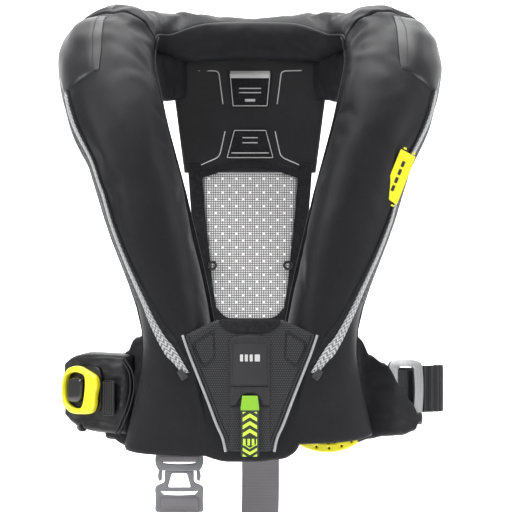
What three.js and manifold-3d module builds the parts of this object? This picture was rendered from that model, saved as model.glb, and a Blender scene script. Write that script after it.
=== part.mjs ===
// An inflatable life jacket: two chest lobes that run over the shoulders into a collar,
// a back yoke with a mesh panel, a chest panel, a waist belt and a crutch strap, with the
// air bladder and its firing gear inside the covers.
// Millimetres, +Z up. The front faces -Y and the origin lies between the two shoulder seats.
import * as THREE from 'three';
import { mergeVertices } from 'three/addons/utils/BufferGeometryUtils.js';
import Module from 'manifold-3d';

const wasm = await Module();
wasm.setup();

// ---- Driving dimensions -----------------------------------------------------------------

const GAP = 0.3; // left between pieces that touch
const SEWN_GAP = 0.5; // left between sewn layers that follow a curve
const SEAT_GAP = 0.9; // left between a cover's edge and its lining

// The roll that goes from the hem over the shoulder to the nape, by its middle line.
const HEM_X = 88;
const HEM_DEPTH = 128;
const HEM_Z = -462;
const CHEST_X = 88;
const CHEST_DEPTH = 140;
const CHEST_Z = -318;
const BREAST_X = 125;
const BREAST_DEPTH = 138;
const BREAST_Z = -177;
const FRONT_SHOULDER_X = 157;
const FRONT_SHOULDER_DEPTH = 98;
const FRONT_SHOULDER_Z = -58;
const SHOULDER_X = 163;
const SHOULDER_Z = 22;
const COLLAR_SIDE_X = 108;
const COLLAR_SIDE_DEPTH = 62;
const COLLAR_SIDE_Z = 22;
const NAPE_DEPTH = 88;
const NAPE_Z = 13;

const LOBE_WIDTH = 102; // across a lobe at the shoulder
const WAIST_WIDTH = 88; // across a lobe at the chest panel
const COLLAR_WIDTH = 47; // height of the collar roll behind the neck
const LOBE_RISE = 52; // from the lining to the crown of the cover
const HEM_RISE = 36;
const HEM_WIDTH = 122;
const COLLAR_RISE = 40;
const COVER_WALL = 3;
const LINING_WALL = 3;
const BLADDER_FOLD = 6; // the bladder packed flat
const BLADDER_MARGIN = 9;
const BLADDER_GAP = 2;

const ZIP_WIDTH = 6.5;
const ZIP_THICKNESS = 1.6;
const ZIP_END_Z = -368;
const ZIP_TOP_Z = -20;
const CAP_SEAM_Z = -26;
const OVERLAY_WALL = 1.4;
const OVERLAY_GAP = 0.9; // a wide layer bridges the facets of the cover below it
const GUSSET_END_Z = -282;
const CAP_GAP = 1.9; // the cap bridges the bend of the shoulder
const CAP_ANGLE = 1.7; // how far the shoulder cap reaches over the roll, in radians
const CAP_RINGS_BEHIND = 4;
const BLADDER_START = 1; // the ring above the hem where the bladder begins
const RIGHT_HEM_LIFT = 15; // the right cover ends higher, above the pull handle

const YOKE_TOP_Z = -15;
const YOKE_FOOT_Z = -139;
const YOKE_TOP_HALF = 88;
const YOKE_FOOT_HALF = 74;
const YOKE_WALL = 9;
const YOKE_DEPTH = 84;
const MESH_WALL = 2;
const MESH_TOP_HALF = 57;
const MESH_FOOT_HALF = 40;
const BINDING_WIDTH = 14;
const BINDING_WALL = 4;
const EYELET_RADIUS = 5;
const EYELET_HOLE = 2.2;
const EYELET_Z = -248;

const WAIST_HALF_WIDTH = 214;
const WAIST_HALF_DEPTH = 116;
const BELT_Z = -391;
const BELT_WIDTH = 46;
const BELT_WALL = 2.4;
const BACK_BELT_DEPTH = WAIST_HALF_DEPTH;
const FRONT_BELT_INSET = -2.2; // the front belt runs behind the linings
const BACK_BELT_START = 0.16; // from the rings to the back belt, in radians of the waist
const POD_END_TURN = 1.32; // where the hip pod ends, in radians from the front
const TAIL_WALL = 7;

const CHEST_TOP_Z = -310;
const CHEST_HEIGHT = 152;
const CHEST_WALL = 5;
const CHEST_SHOULDER_HALF = 75;
const CHEST_TOP_HALF = 37;
const CHEST_SHOULDER_DROP = 17;
const CHEST_FOOT_HALF = 25;
const PIPING_RADIUS = 1.8;
const FLAP_HALF = 24;
const FLAP_TOP = 17;
const FLAP_HEIGHT = 81;
const FLAP_WALL = 3;
const FLAP_NOTCH = 14; // radius of the half-round opening over the release tab
const TAB_WIDTH = 23;
const TAB_WALL = 2.4;
const TAB_LENGTH = 70;

const POD_FROM_X = 150;
const POD_HEIGHT = 94;
const POD_WALL = 15;
const ADJUSTER_X = 178;
const ADJUSTER_WIDTH = 54;
const ADJUSTER_HEIGHT = 57;
const ADJUSTER_RIM = 9;
const ADJUSTER_WALL = 9;
const ADJUSTER_BASE_WALL = 3;

const RING_X = 172;
const RING_HEIGHT = 68;
const RING_WIDTH = 46;
const RING_BAR = 8;
const RING_WALL = 4;
const RING_LIFT = 5.2;
const WING_CLEARANCE = 4.6; // from the face of the ring to the wing in front of it
const WING_DROP = 72; // how far the right wing's top edge falls
const CHEST_SEAT = -0.5; // the panel sinks a little between the crowns of the lobes
const RING_OFFSET = 9;

const CRUTCH_X = -81;
const CRUTCH_WEB = 44;
const WEB_WALL = 2.2;
const BUCKLE_WIDTH = 57;
const BUCKLE_WALL = 11;
const CRUTCH_BACK_X = 12;
const CRUTCH_LOOP_Z = -650;

const FRONT_LOOP_RISE = 14;
const CRUTCH_FORWARD = 15; // the buckle hangs in front of the lining
const LOW_SLOT = 36;
const STRAP_INSET = 2.7; // the strap lies inside the bend of the back belt
const BADGE_WALL = 1.4;
const TAG_Z = -146;
const TAG_ANGLE = 0.52;
const INFLATOR_HEIGHT = 44;
const LEVER_LENGTH = 20;
const CYLINDER_LIFT = 17;
const HANDLE_X = 90;
const HANDLE_LENGTH = 60;
const HANDLE_HALF = 5.5;
const HANDLE_Z = -450;
const ORAL_Z = -235;
const ORAL_RADIUS = 6.5;
const ORAL_HALF_LENGTH = 45;
const ORAL_CAP_RADIUS = 7.5;
const ORAL_CAP_HEIGHT = 10;
const ORAL_X = -14;
const WHISTLE_X = 12;
const HIP_TOP_Z = -345;
const HIP_FOOT_Z = -448;
const LIGHT_Z = -320;
const BUCKLE_TOP_Z = -464;
const MALE_HEAD = 17;
const MALE_TONGUE = 16;
const FEMALE_GAP = 7;
const FEMALE_HEIGHT = 44;
const PRONG_WIDTH = 4;
const PRONG_LENGTH = 20;
const PRONG_X = 19;
const CARRIER_WIDTH = 50;
const LUG_WIDTH = 12;
const LUG_HEIGHT = 4;
const BAR_LIFT = 4;
const BAR_WIDTH = 11;
const BAR_WALL = 7;
const HIP_WALL = 8;
const HIP_FROM_X = 138;
const RIGHT_HIP_FROM_X = 137;
const RIGHT_HIP_TO_X = 184;

const CYLINDER_RADIUS = 15.5;
const CYLINDER_LENGTH = 128;
const INFLATOR_Z = -372;

// ---- Materials --------------------------------------------------------------------------

const paint = (color, roughness, metalness = 0) => ({ color, roughness, metalness });
const NYLON = paint(0x2d2e33, 0.7);
const COATED = paint(0x3a3b40, 0.45);
const LINING = paint(0x232327, 0.9);
const SILVER = paint(0xb8babd, 0.5);
const BLADDER = paint(0xd8d423, 0.55);
const MESH = paint(0xc9cbcc, 0.8);
const WEBBING = paint(0x1b1b1e, 0.85);
const GREY_WEBBING = paint(0x74717a, 0.85);
const GREY_PLASTIC = paint(0x8b8d92, 0.5);
const BLACK_PLASTIC = paint(0x17181b, 0.35);
const YELLOW_PLASTIC = paint(0xe3dc2e, 0.4);
const GREEN_FABRIC = paint(0x7fbf2a, 0.6);
const GRIP = paint(0x3b3c40, 0.85);
const STEEL = paint(0xb4b6b9, 0.3, 0.9);

const jacket = new THREE.Group();

function addMesh(parent, name, geometry, finish) {
  const mesh = new THREE.Mesh(geometry, new THREE.MeshStandardMaterial(finish));
  mesh.name = name;
  parent.add(mesh);
  return mesh;
}

// ---- Solids -----------------------------------------------------------------------------

// Triangles that close a flat outline, all turning the way the outline turns.
function fillOutline(outline) {
  const flat = outline.map(([a, b]) => new THREE.Vector2(a, b));
  const turn = Math.sign(THREE.ShapeUtils.area(flat));
  return THREE.ShapeUtils.triangulateShape(flat, []).map(([i, j, k]) => {
    const own = Math.sign(THREE.ShapeUtils.area([flat[i], flat[j], flat[k]]));
    return own === turn ? [i, j, k] : [i, k, j];
  });
}

function closedGeometry(points, faces) {
  let volume = 0;
  for (const [i, j, k] of faces) {
    volume += points[i].dot(points[j].clone().cross(points[k]));
  }
  const turned = volume < 0 ? faces.map(([i, j, k]) => [i, k, j]) : faces;
  const geometry = new THREE.BufferGeometry().setFromPoints(points);
  geometry.setIndex(turned.flat());
  return geometry;
}

// A solid through a row of places, each with an outline in its own across and out directions.
// Before the turning ring, the four-sided faces are split along their other diagonal.
function loft(places, outlineAt, turningRing = 0) {
  const outlines = places.map((place, index) => outlineAt(index / (places.length - 1), place));
  const count = outlines[0].length;
  const points = [];
  places.forEach((place, index) => {
    for (const [a, b] of outlines[index]) {
      points.push(place.at.clone().addScaledVector(place.across, a).addScaledVector(place.out, b));
    }
  });
  const faces = [];
  for (let ring = 0; ring < places.length - 1; ring += 1) {
    for (let k = 0; k < count; k += 1) {
      const here = ring * count + k;
      const next = ring * count + ((k + 1) % count);
      if (ring < turningRing) {
        faces.push([here, next, here + count], [next, next + count, here + count]);
      } else {
        faces.push([here, next, next + count], [here, next + count, here + count]);
      }
    }
  }
  const last = (places.length - 1) * count;
  for (const [i, j, k] of fillOutline(outlines[0])) {
    faces.push([i, k, j]);
  }
  for (const [i, j, k] of fillOutline(outlines.at(-1))) {
    faces.push([last + i, last + j, last + k]);
  }
  return closedGeometry(points, faces);
}

const box = (across, low, high) => [
  [-across, low],
  [across, low],
  [across, high],
  [-across, high],
];

function toSolid(geometry) {
  const bare = geometry.clone();
  bare.deleteAttribute('normal');
  bare.deleteAttribute('uv');
  const merged = mergeVertices(bare, 1e-4);
  return new wasm.Manifold(
    new wasm.Mesh({
      numProp: 3,
      vertProperties: new Float32Array(merged.attributes.position.array),
      triVerts: new Uint32Array(merged.index.array),
    }),
  );
}

function toGeometry(solid) {
  const mesh = solid.getMesh();
  const geometry = new THREE.BufferGeometry();
  geometry.setAttribute('position', new THREE.BufferAttribute(new Float32Array(mesh.vertProperties), 3));
  geometry.setIndex(Array.from(mesh.triVerts));
  return geometry;
}

function join(...geometries) {
  return toGeometry(geometries.map(toSolid).reduce((whole, solid) => whole.add(solid)));
}

function cut(geometry, ...tools) {
  return toGeometry(tools.map(toSolid).reduce((whole, tool) => whole.subtract(tool), toSolid(geometry)));
}

function roundedPath(path, width, height, radius, x = 0, y = 0) {
  const [w, h] = [width / 2 - radius, height / 2 - radius];
  path.moveTo(x + width / 2, y - h);
  path.absarc(x + w, y + h, radius, 0, Math.PI / 2, false);
  path.absarc(x - w, y + h, radius, Math.PI / 2, Math.PI, false);
  path.absarc(x - w, y - h, radius, Math.PI, Math.PI * 1.5, false);
  path.absarc(x + w, y - h, radius, Math.PI * 1.5, Math.PI * 2, false);
  return path;
}

const roundedShape = (width, height, radius, x = 0, y = 0) =>
  roundedPath(new THREE.Shape(), width, height, radius, x, y);

function frameShape(width, height, radius, bar) {
  const shape = roundedShape(width, height, radius);
  shape.holes.push(roundedPath(new THREE.Path(), width - 2 * bar, height - 2 * bar, Math.max(radius - bar, 2)));
  return shape;
}

function plate(shape, from, depth, curveSegments = 5) {
  const geometry = new THREE.ExtrudeGeometry(shape, { depth, bevelEnabled: false, curveSegments });
  return geometry.translate(0, 0, from);
}

function tube(curve, radius, steps, sides = 8) {
  const section = new THREE.Shape();
  section.absarc(0, 0, radius, 0, Math.PI * 2, false);
  return new THREE.ExtrudeGeometry(section, {
    extrudePath: curve,
    steps,
    bevelEnabled: false,
    curveSegments: sides,
  });
}

// A group whose x runs across, y up and z out of the surface it stands on.
function facingGroup(at, out, up = new THREE.Vector3(0, 0, 1)) {
  const group = new THREE.Group();
  const z = out.clone().normalize();
  const x = up.clone().cross(z).normalize();
  const y = z.clone().cross(x);
  group.quaternion.setFromRotationMatrix(new THREE.Matrix4().makeBasis(x, y, z));
  group.position.copy(at);
  jacket.add(group);
  return group;
}

// ---- The roll: middle line, outward direction, width and rise -----------------------------

const point = (x, y, z) => new THREE.Vector3(x, y, z);

// Stops from the hem to the nape: middle, outward direction, width and rise.
const STOPS = [
  { at: point(HEM_X, -HEM_DEPTH, HEM_Z), out: point(0.26, -1, 0), width: HEM_WIDTH, rise: HEM_RISE },
  { at: point(CHEST_X, -CHEST_DEPTH, CHEST_Z), out: point(0.2, -1, 0.05), width: WAIST_WIDTH, rise: LOBE_RISE },
  { at: point(BREAST_X, -BREAST_DEPTH, BREAST_Z), out: point(0.2, -1, 0.2), width: LOBE_WIDTH, rise: LOBE_RISE },
  {
    at: point(FRONT_SHOULDER_X, -FRONT_SHOULDER_DEPTH, FRONT_SHOULDER_Z),
    out: point(0.3, -0.8, 0.6),
    width: LOBE_WIDTH + 3,
    rise: LOBE_RISE,
  },
  { at: point(SHOULDER_X, 0, SHOULDER_Z), out: point(0.3, 0.05, 1), width: LOBE_WIDTH + 3, rise: LOBE_RISE },
  {
    at: point(COLLAR_SIDE_X, COLLAR_SIDE_DEPTH, COLLAR_SIDE_Z),
    out: point(0.3, 0.5, 0.8),
    width: COLLAR_WIDTH + 16,
    rise: COLLAR_RISE + 6,
  },
  { at: point(0, NAPE_DEPTH, NAPE_Z), out: point(0, 1, 0.25), width: COLLAR_WIDTH, rise: COLLAR_RISE },
];

const mirrored = (vector) => point(-vector.x, vector.y, vector.z);

// Both halves as one row of stops, from the left hem round the nape to the right hem.
const courseStops = [
  ...STOPS.map((stop) => ({ ...stop, at: mirrored(stop.at), out: mirrored(stop.out) })),
  ...STOPS.slice(0, -1).reverse(),
];
const course = new THREE.CatmullRomCurve3(courseStops.map((stop) => stop.at), false, 'centripetal');
const outward = new THREE.CatmullRomCurve3(courseStops.map((stop) => stop.out), false, 'centripetal');
const sizes = new THREE.CatmullRomCurve3(
  courseStops.map((stop, index) => point(stop.width, stop.rise, index)),
  false,
  'centripetal',
);

const COURSE_STEPS = 60; // rings from hem to hem, an even number

function coursePlace(share) {
  const at = course.getPoint(share);
  const along = course.getTangent(share).normalize();
  const rough = outward.getPoint(share);
  const out = rough.addScaledVector(along, -rough.dot(along)).normalize();
  const across = along.clone().cross(out).negate();
  const size = sizes.getPoint(share);
  return { at, along, out, across, width: size.x, rise: size.y };
}

// Left places run up from the hem, and right places are their mirror images.
const leftPlaces = Array.from({ length: COURSE_STEPS / 2 + 1 }, (_, index) => coursePlace(index / COURSE_STEPS));
const rightPlaces = leftPlaces.map((place) => ({
  ...place,
  at: mirrored(place.at),
  along: mirrored(place.along),
  out: mirrored(place.out),
  across: mirrored(place.across),
}));
const sidePlaces = { left: leftPlaces, right: rightPlaces };
const sideSign = { left: -1, right: 1 };
const SHOULDER_INDEX = leftPlaces.reduce((best, place, index) =>
  (place.at.z > leftPlaces[best].at.z ? index : best), 0);

// The ring nearest a height on the front of the body.
function ringAt(height) {
  const front = leftPlaces.slice(0, SHOULDER_INDEX + 1);
  return front.reduce((best, place, index) =>
    (Math.abs(place.at.z - height) < Math.abs(front[best].at.z - height) ? index : best), 0);
}

const moved = (place, distance) => ({ ...place, at: place.at.clone().addScaledVector(place.along, distance) });

// Places from one ring to another, with a small gap kept at each end.
function stretch(places, from, to, startGap = 0, endGap = 0) {
  return places.slice(from, to + 1).map((place, index, all) => {
    if (index === 0) {
      return moved(place, startGap);
    }
    return index === all.length - 1 ? moved(place, -endGap) : place;
  });
}

const DOME_STEPS = 9;
const DOME_POWER = 2.5; // 2 is an ellipse, more is squarer

// A point of the cover's dome. Angle 0 is the edge by the arm and PI the edge by the neck.
function dome(place, angle, lift = 0) {
  const [c, s] = [Math.cos(angle), Math.sin(angle)];
  const bend = (value) => Math.sign(value) * Math.abs(value) ** (2 / DOME_POWER);
  return [(place.width / 2 + lift) * bend(c), -place.rise / 2 + (place.rise + lift) * bend(s)];
}

// A curved layer between two angles of the dome.
function domeLayer(place, fromAngle, toAngle, low, high, steps = DOME_STEPS) {
  const angles = Array.from({ length: steps + 1 }, (_, k) => fromAngle + ((toAngle - fromAngle) * k) / steps);
  const outer = angles.map((angle) => dome(place, angle, high));
  const inner = angles.map((angle) => dome(place, angle, low)).reverse();
  return [...outer, ...inner];
}

// ---- Covers, linings and bladder ----------------------------------------------------------

const hemLift = { left: 0, right: RIGHT_HEM_LIFT };
const NAPE_INDEX = COURSE_STEPS / 2;
const wholeCollar = [
  ...stretch(leftPlaces, SHOULDER_INDEX, NAPE_INDEX, GAP / 2),
  ...stretch(rightPlaces, SHOULDER_INDEX, NAPE_INDEX - 1, GAP / 2).reverse(),
];

const coverOutline = (share, place) => domeLayer(place, 0, Math.PI, -COVER_WALL, 0);
const liningOutline = (share, place) =>
  box(place.width / 2 - 1, -place.rise / 2 - SEAT_GAP - LINING_WALL, -place.rise / 2 - SEAT_GAP);
const bladderOutline = (share, place) =>
  box(
    place.width / 2 - BLADDER_MARGIN,
    -place.rise / 2 - SEAT_GAP + BLADDER_GAP,
    -place.rise / 2 - SEAT_GAP + BLADDER_GAP + BLADDER_FOLD,
  );

for (const side of ['left', 'right']) {
  const run = stretch(sidePlaces[side], 0, SHOULDER_INDEX, hemLift[side], GAP / 2);
  addMesh(jacket, `${side}_lobe_cover`, loft(run, coverOutline), NYLON);
  addMesh(jacket, `${side}_lobe_lining`, loft(run, liningOutline), LINING);
}
addMesh(jacket, 'collar_cover', loft(wholeCollar, coverOutline), NYLON);
addMesh(jacket, 'collar_lining', loft(wholeCollar, liningOutline), LINING);

// ---- Burst zips, side gussets and shoulder caps, laid on the covers -------------------------

const zipFoot = ringAt(ZIP_END_Z);
const zipHead = ringAt(ZIP_TOP_Z);
const ZIP_HEAD_ANGLE = 0.46;
const ZIP_FOOT_ANGLE = 1.85;
const ZIP_SWEEP = 3.4; // how quickly the zip moves out to the arm side

// The zip starts over the arm and works its way to the middle of the lobe near the hem.
function zipAngle(share) {
  return ZIP_HEAD_ANGLE + (ZIP_FOOT_ANGLE - ZIP_HEAD_ANGLE) * Math.exp(-ZIP_SWEEP * share);
}

// Half the angle that the zip's width takes up on the dome of a place.
const zipSpan = (place) => ZIP_WIDTH / (place.width / 2 + place.rise / 2);

function overlay(places, angles, lift, wall, steps) {
  return loft(places, (share, place) => {
    const [from, to] = angles(share, place);
    return domeLayer(place, from, to, lift, lift + wall, steps);
  });
}

for (const side of ['left', 'right']) {
  const zipRun = stretch(sidePlaces[side], zipFoot, zipHead);
  const zip = overlay(
    zipRun,
    (share, place) => [zipAngle(share) - zipSpan(place) / 2, zipAngle(share) + zipSpan(place) / 2],
    OVERLAY_GAP,
    ZIP_THICKNESS,
    1,
  );
  addMesh(jacket, `${side}_burst_zip`, zip, SILVER);
  const gussetFoot = ringAt(GUSSET_END_Z);
  const gussetShare = (share) => {
    const ring = gussetFoot + share * (zipHead - gussetFoot);
    return (ring - zipFoot) / (zipHead - zipFoot);
  };
  const gusset = overlay(
    stretch(sidePlaces[side], gussetFoot, zipHead),
    (share, place) => [0.02, zipAngle(gussetShare(share)) - zipSpan(place) / 2 - 0.03],
    OVERLAY_GAP,
    OVERLAY_WALL,
    3,
  );
  addMesh(jacket, `${side}_side_gusset`, gusset, LINING);
  const cap = overlay(
    stretch(sidePlaces[side], ringAt(CAP_SEAM_Z) + 2, SHOULDER_INDEX + CAP_RINGS_BEHIND),
    () => [0.02, CAP_ANGLE],
    CAP_GAP,
    OVERLAY_WALL,
    5,
  );
  addMesh(jacket, `${side}_shoulder_cap`, cap, COATED);
}

// ---- Air bladder: one folded chamber from hem to hem ---------------------------------------

const bladderRun = [
  ...leftPlaces.slice(BLADDER_START, NAPE_INDEX),
  ...rightPlaces.slice(BLADDER_START, NAPE_INDEX + 1).reverse(),
];
addMesh(jacket, 'air_bladder', loft(bladderRun, bladderOutline, NAPE_INDEX - BLADDER_START), BLADDER);

// ---- Back: yoke, mesh, bindings and eyelets ------------------------------------------------

const BACK_CURVE = 0.0009; // how much the back falls away to the sides, per millimetre squared

// A level of the back panel: half its width, and how far behind the shoulder line it lies.
function backSheet(levels, wall, columns = 4) {
  const places = levels.map(({ z, depth }) => ({
    at: point(0, depth, z),
    across: point(1, 0, 0),
    out: point(0, 1, 0),
  }));
  return loft(places, (share, place) => {
    const level = levels[places.indexOf(place)];
    const [from, to] = level.span ?? [-level.half, level.half];
    const stops = Array.from({ length: columns + 1 }, (_, k) => from + ((to - from) * k) / columns);
    const fall = (x) => -BACK_CURVE * x * x;
    return [
      ...stops.map((x) => [x, fall(x)]),
      ...stops.reverse().map((x) => [x, fall(x) + wall]),
    ];
  });
}

const backDepth = (z) =>
  THREE.MathUtils.lerp(YOKE_DEPTH, BACK_BELT_DEPTH, THREE.MathUtils.clamp((YOKE_TOP_Z - z) / (YOKE_TOP_Z - BELT_Z), 0, 1));
const level = (z, half, inset = 0) => ({ z, half, depth: backDepth(z) + inset });

addMesh(jacket, 'back_yoke', backSheet([
  level(YOKE_TOP_Z, YOKE_TOP_HALF),
  level((YOKE_TOP_Z + YOKE_FOOT_Z) / 2, (YOKE_TOP_HALF + YOKE_FOOT_HALF) / 2),
  level(YOKE_FOOT_Z, YOKE_FOOT_HALF),
], YOKE_WALL), COATED);

const MESH_TOP_Z = YOKE_FOOT_Z - GAP;
const MESH_FOOT_Z = BELT_Z + BELT_WIDTH / 2 + GAP;
const meshHalf = (z) => THREE.MathUtils.mapLinear(z, MESH_TOP_Z, MESH_FOOT_Z, MESH_TOP_HALF, MESH_FOOT_HALF);
const meshLevels = [0, 1, 2, 3].map((k) => MESH_TOP_Z + ((MESH_FOOT_Z - MESH_TOP_Z) * k) / 3);
addMesh(jacket, 'back_mesh', backSheet(meshLevels.map((z) => level(z, meshHalf(z), 1)), MESH_WALL), MESH);

for (const side of ['left', 'right']) {
  const sign = sideSign[side];
  const binding = backSheet(meshLevels.map((z) => {
    const inner = meshHalf(z) + GAP;
    return { ...level(z, 0), span: sign > 0 ? [inner, inner + BINDING_WIDTH] : [-inner - BINDING_WIDTH, -inner] };
  }), BINDING_WALL, 1);
  addMesh(jacket, `${side}_mesh_binding`, binding, LINING);
  const eyelet = new THREE.Shape();
  eyelet.absarc(0, 0, EYELET_RADIUS, 0, Math.PI * 2, false);
  eyelet.holes.push(new THREE.Path().absarc(0, 0, EYELET_HOLE, 0, Math.PI * 2, false));
  const eyeletX = sign * (meshHalf(EYELET_Z) + BINDING_WIDTH / 2);
  const eyeletY = backDepth(EYELET_Z) - BACK_CURVE * (Math.abs(eyeletX) + EYELET_RADIUS) ** 2 - SEWN_GAP;
  const spot = facingGroup(point(eyeletX, eyeletY, EYELET_Z), point(0, -1, 0));
  addMesh(spot, `${side}_bungee_eyelet`, plate(eyelet, 0, 2, 8), BLACK_PLASTIC);
}

// ---- Waist belt ----------------------------------------------------------------------------

// A place on the waist oval. Turn 0 is the front, and it grows towards the wearer's left.
function waistPlace(turn, offset = 0) {
  const at = point(WAIST_HALF_WIDTH * Math.sin(turn), -WAIST_HALF_DEPTH * Math.cos(turn), BELT_Z);
  const out = point(Math.sin(turn) / WAIST_HALF_WIDTH, -Math.cos(turn) / WAIST_HALF_DEPTH, 0).normalize();
  return { at: at.addScaledVector(out, offset), out, across: point(0, 0, 1), turn };
}

const waistRun = (from, to, steps, offset = 0) =>
  Array.from({ length: steps + 1 }, (_, k) => waistPlace(from + ((to - from) * k) / steps, offset));
const turnAtX = (x) => Math.asin(x / WAIST_HALF_WIDTH);

const RING_TURN = turnAtX(RING_X);
const POD_TURN = turnAtX(-POD_FROM_X);
const beltBox = box(BELT_WIDTH / 2, 0, BELT_WALL);
const BACK_BELT_END = RING_TURN + BACK_BELT_START;
const backRun = waistRun(BACK_BELT_END, Math.PI * 2 - POD_END_TURN, 22);
addMesh(jacket, 'back_waist_belt', loft(backRun, () => beltBox), WEBBING);
const frontRun = waistRun(POD_TURN + 0.05, RING_TURN - 0.12, 12, FRONT_BELT_INSET);
addMesh(jacket, 'front_waist_belt', loft(frontRun, () => beltBox), WEBBING);

// The pleated tail of the belt lies over the belt, behind the rings.
const tailRun = waistRun(BACK_BELT_END + 0.12, BACK_BELT_END + 0.62, 5, BELT_WALL + SEWN_GAP);
addMesh(jacket, 'belt_tail', loft(tailRun, () => box(BELT_WIDTH / 2 + 4, 0, TAIL_WALL)), WEBBING);

// ---- Belt rings: one inside the other, both standing on the belt ----------------------------

const ringPlace = waistPlace(RING_TURN, BELT_WALL);
const ringSpot = facingGroup(ringPlace.at, ringPlace.out);
const ringShape = frameShape(RING_WIDTH, RING_HEIGHT, 12, RING_BAR);
addMesh(ringSpot, 'belt_outer_ring', plate(ringShape, RING_LIFT, RING_WALL, 4), STEEL);
const innerRing = new THREE.Group();
innerRing.position.set(RING_OFFSET, 0, RING_LIFT - GAP - RING_WALL);
ringSpot.add(innerRing);
addMesh(innerRing, 'belt_inner_ring', plate(ringShape, 0, RING_WALL, 4), STEEL);

// ---- Hip panels and the hip pod --------------------------------------------------------------

// A padded wing round the waist. Its top edge falls from the first height to the second.
function hipPanel(fromX, toX, drop, lift) {
  const run = waistRun(turnAtX(fromX), turnAtX(toX), 5, lift);
  return loft(run, (share) => {
    const top = HIP_TOP_Z - drop * share ** 1.5 - BELT_Z;
    const foot = HIP_FOOT_Z + (drop / 9) * share - BELT_Z;
    return [[foot, 0], [top, 0], [top - 2, HIP_WALL], [foot + 2, HIP_WALL]];
  });
}
addMesh(jacket, 'left_hip_panel', hipPanel(-HIP_FROM_X, -POD_FROM_X, 0, BELT_WALL + GAP), NYLON);
const wingLift = RING_LIFT + RING_WALL + WING_CLEARANCE;
addMesh(jacket, 'right_hip_panel', hipPanel(RIGHT_HIP_FROM_X, RIGHT_HIP_TO_X, WING_DROP, wingLift), NYLON);

const podRun = waistRun(turnAtX(-POD_FROM_X - 0.7), -POD_END_TURN + 0.06, 6, BELT_WALL + GAP);
const podOutline = (share) => {
  const half = (POD_HEIGHT / 2) * (1 - 0.16 * (2 * share - 1) ** 4);
  return [[-half, 0], [half, 0], [half + 1, POD_WALL * 0.6], [half - 6, POD_WALL], [6 - half, POD_WALL],
    [-half - 1, POD_WALL * 0.6]];
};
addMesh(jacket, 'hip_pod', loft(podRun, podOutline), COATED);

// The adjuster: a base on the pod, a bar between its two lugs, and the frame hinged at one side.
const adjusterPlace = waistPlace(turnAtX(-ADJUSTER_X), BELT_WALL + POD_WALL + SEWN_GAP);
const adjuster = facingGroup(adjusterPlace.at, adjusterPlace.out);
const ADJUSTER_INSIDE = ADJUSTER_HEIGHT - 2 * ADJUSTER_RIM;
const base = plate(roundedShape(ADJUSTER_WIDTH - 4, ADJUSTER_HEIGHT - 4, 12), 0, ADJUSTER_BASE_WALL, 3);
const lugs = [-1, 1].map((end) => {
  const lug = roundedShape(LUG_WIDTH, LUG_HEIGHT, 2, 0, end * (ADJUSTER_INSIDE / 2 - LUG_HEIGHT / 2 - 2));
  return plate(lug, ADJUSTER_BASE_WALL - 1, BAR_LIFT + 3, 2);
});
addMesh(adjuster, 'adjuster_base', join(base, ...lugs), BLACK_PLASTIC);
const barLength = ADJUSTER_INSIDE - 4 - 2 * LUG_HEIGHT - 2 * GAP;
const bar = plate(roundedShape(BAR_WIDTH, BAR_WALL, 2.4), -barLength / 2, barLength, 3);
bar.rotateX(Math.PI / 2);
bar.translate(0, 0, ADJUSTER_BASE_WALL + BAR_LIFT);
addMesh(adjuster, 'adjuster_bar', bar, BLACK_PLASTIC);
const adjusterShape = frameShape(ADJUSTER_WIDTH, ADJUSTER_HEIGHT, 15, ADJUSTER_RIM);
addMesh(adjuster, 'adjuster_frame', plate(adjusterShape, ADJUSTER_BASE_WALL + GAP, ADJUSTER_WALL, 5), YELLOW_PLASTIC);

// ---- Chest panel, flap and release tab, on a plane laid over both lobes ------------------------

const chestFoot = CHEST_TOP_Z - CHEST_HEIGHT;
const frontOf = (place) => Math.min(...domeLayer(place, 0, Math.PI, -COVER_WALL, 0).map(([a, b]) =>
  place.at.y + place.across.y * a + place.out.y * b));
const chestTopY = frontOf(leftPlaces[ringAt(CHEST_TOP_Z)]);
const chestFootY = frontOf(leftPlaces[ringAt(chestFoot + 30)]);
const chestUp = point(0, chestTopY - chestFootY, CHEST_TOP_Z - chestFoot - 30).normalize();
const chestOut = point(0, -chestUp.z, chestUp.y);
const chestBase = point(0, chestTopY, CHEST_TOP_Z);
const proud = Math.max(...leftPlaces.filter((place) => place.at.z < CHEST_TOP_Z + 20 && place.at.y < 0)
  .flatMap((place) => domeLayer(place, 0, Math.PI, 0, 0).map(([a, b]) =>
    place.at.clone().addScaledVector(place.across, a).addScaledVector(place.out, b)))
  .filter((spot) => Math.abs(spot.x) < CHEST_SHOULDER_HALF + 4)
  .map((spot) => spot.sub(chestBase).dot(chestOut)));
const chest = facingGroup(chestBase.clone().addScaledVector(chestOut, proud + CHEST_SEAT), chestOut, chestUp);

// Half the width of the chest panel, from its shoulders down to its foot.
const chestEdge = new THREE.SplineCurve([
  new THREE.Vector2(CHEST_SHOULDER_HALF, -CHEST_SHOULDER_DROP),
  new THREE.Vector2(CHEST_SHOULDER_HALF - 10, -CHEST_HEIGHT * 0.31),
  new THREE.Vector2((CHEST_SHOULDER_HALF + CHEST_FOOT_HALF) / 2, -CHEST_HEIGHT * 0.57),
  new THREE.Vector2(CHEST_FOOT_HALF + 8, -CHEST_HEIGHT * 0.79),
  new THREE.Vector2(CHEST_FOOT_HALF, -CHEST_HEIGHT),
]);
const chestSide = chestEdge.getPoints(10);
const chestShape = new THREE.Shape([
  new THREE.Vector2(CHEST_TOP_HALF, 0),
  new THREE.Vector2(-CHEST_TOP_HALF, 0),
  ...chestSide.map((spot) => new THREE.Vector2(-spot.x, spot.y)),
  ...chestSide.slice().reverse(),
]);
addMesh(chest, 'chest_grip_panel', plate(chestShape, 0, CHEST_WALL, 1), GRIP);

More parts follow.
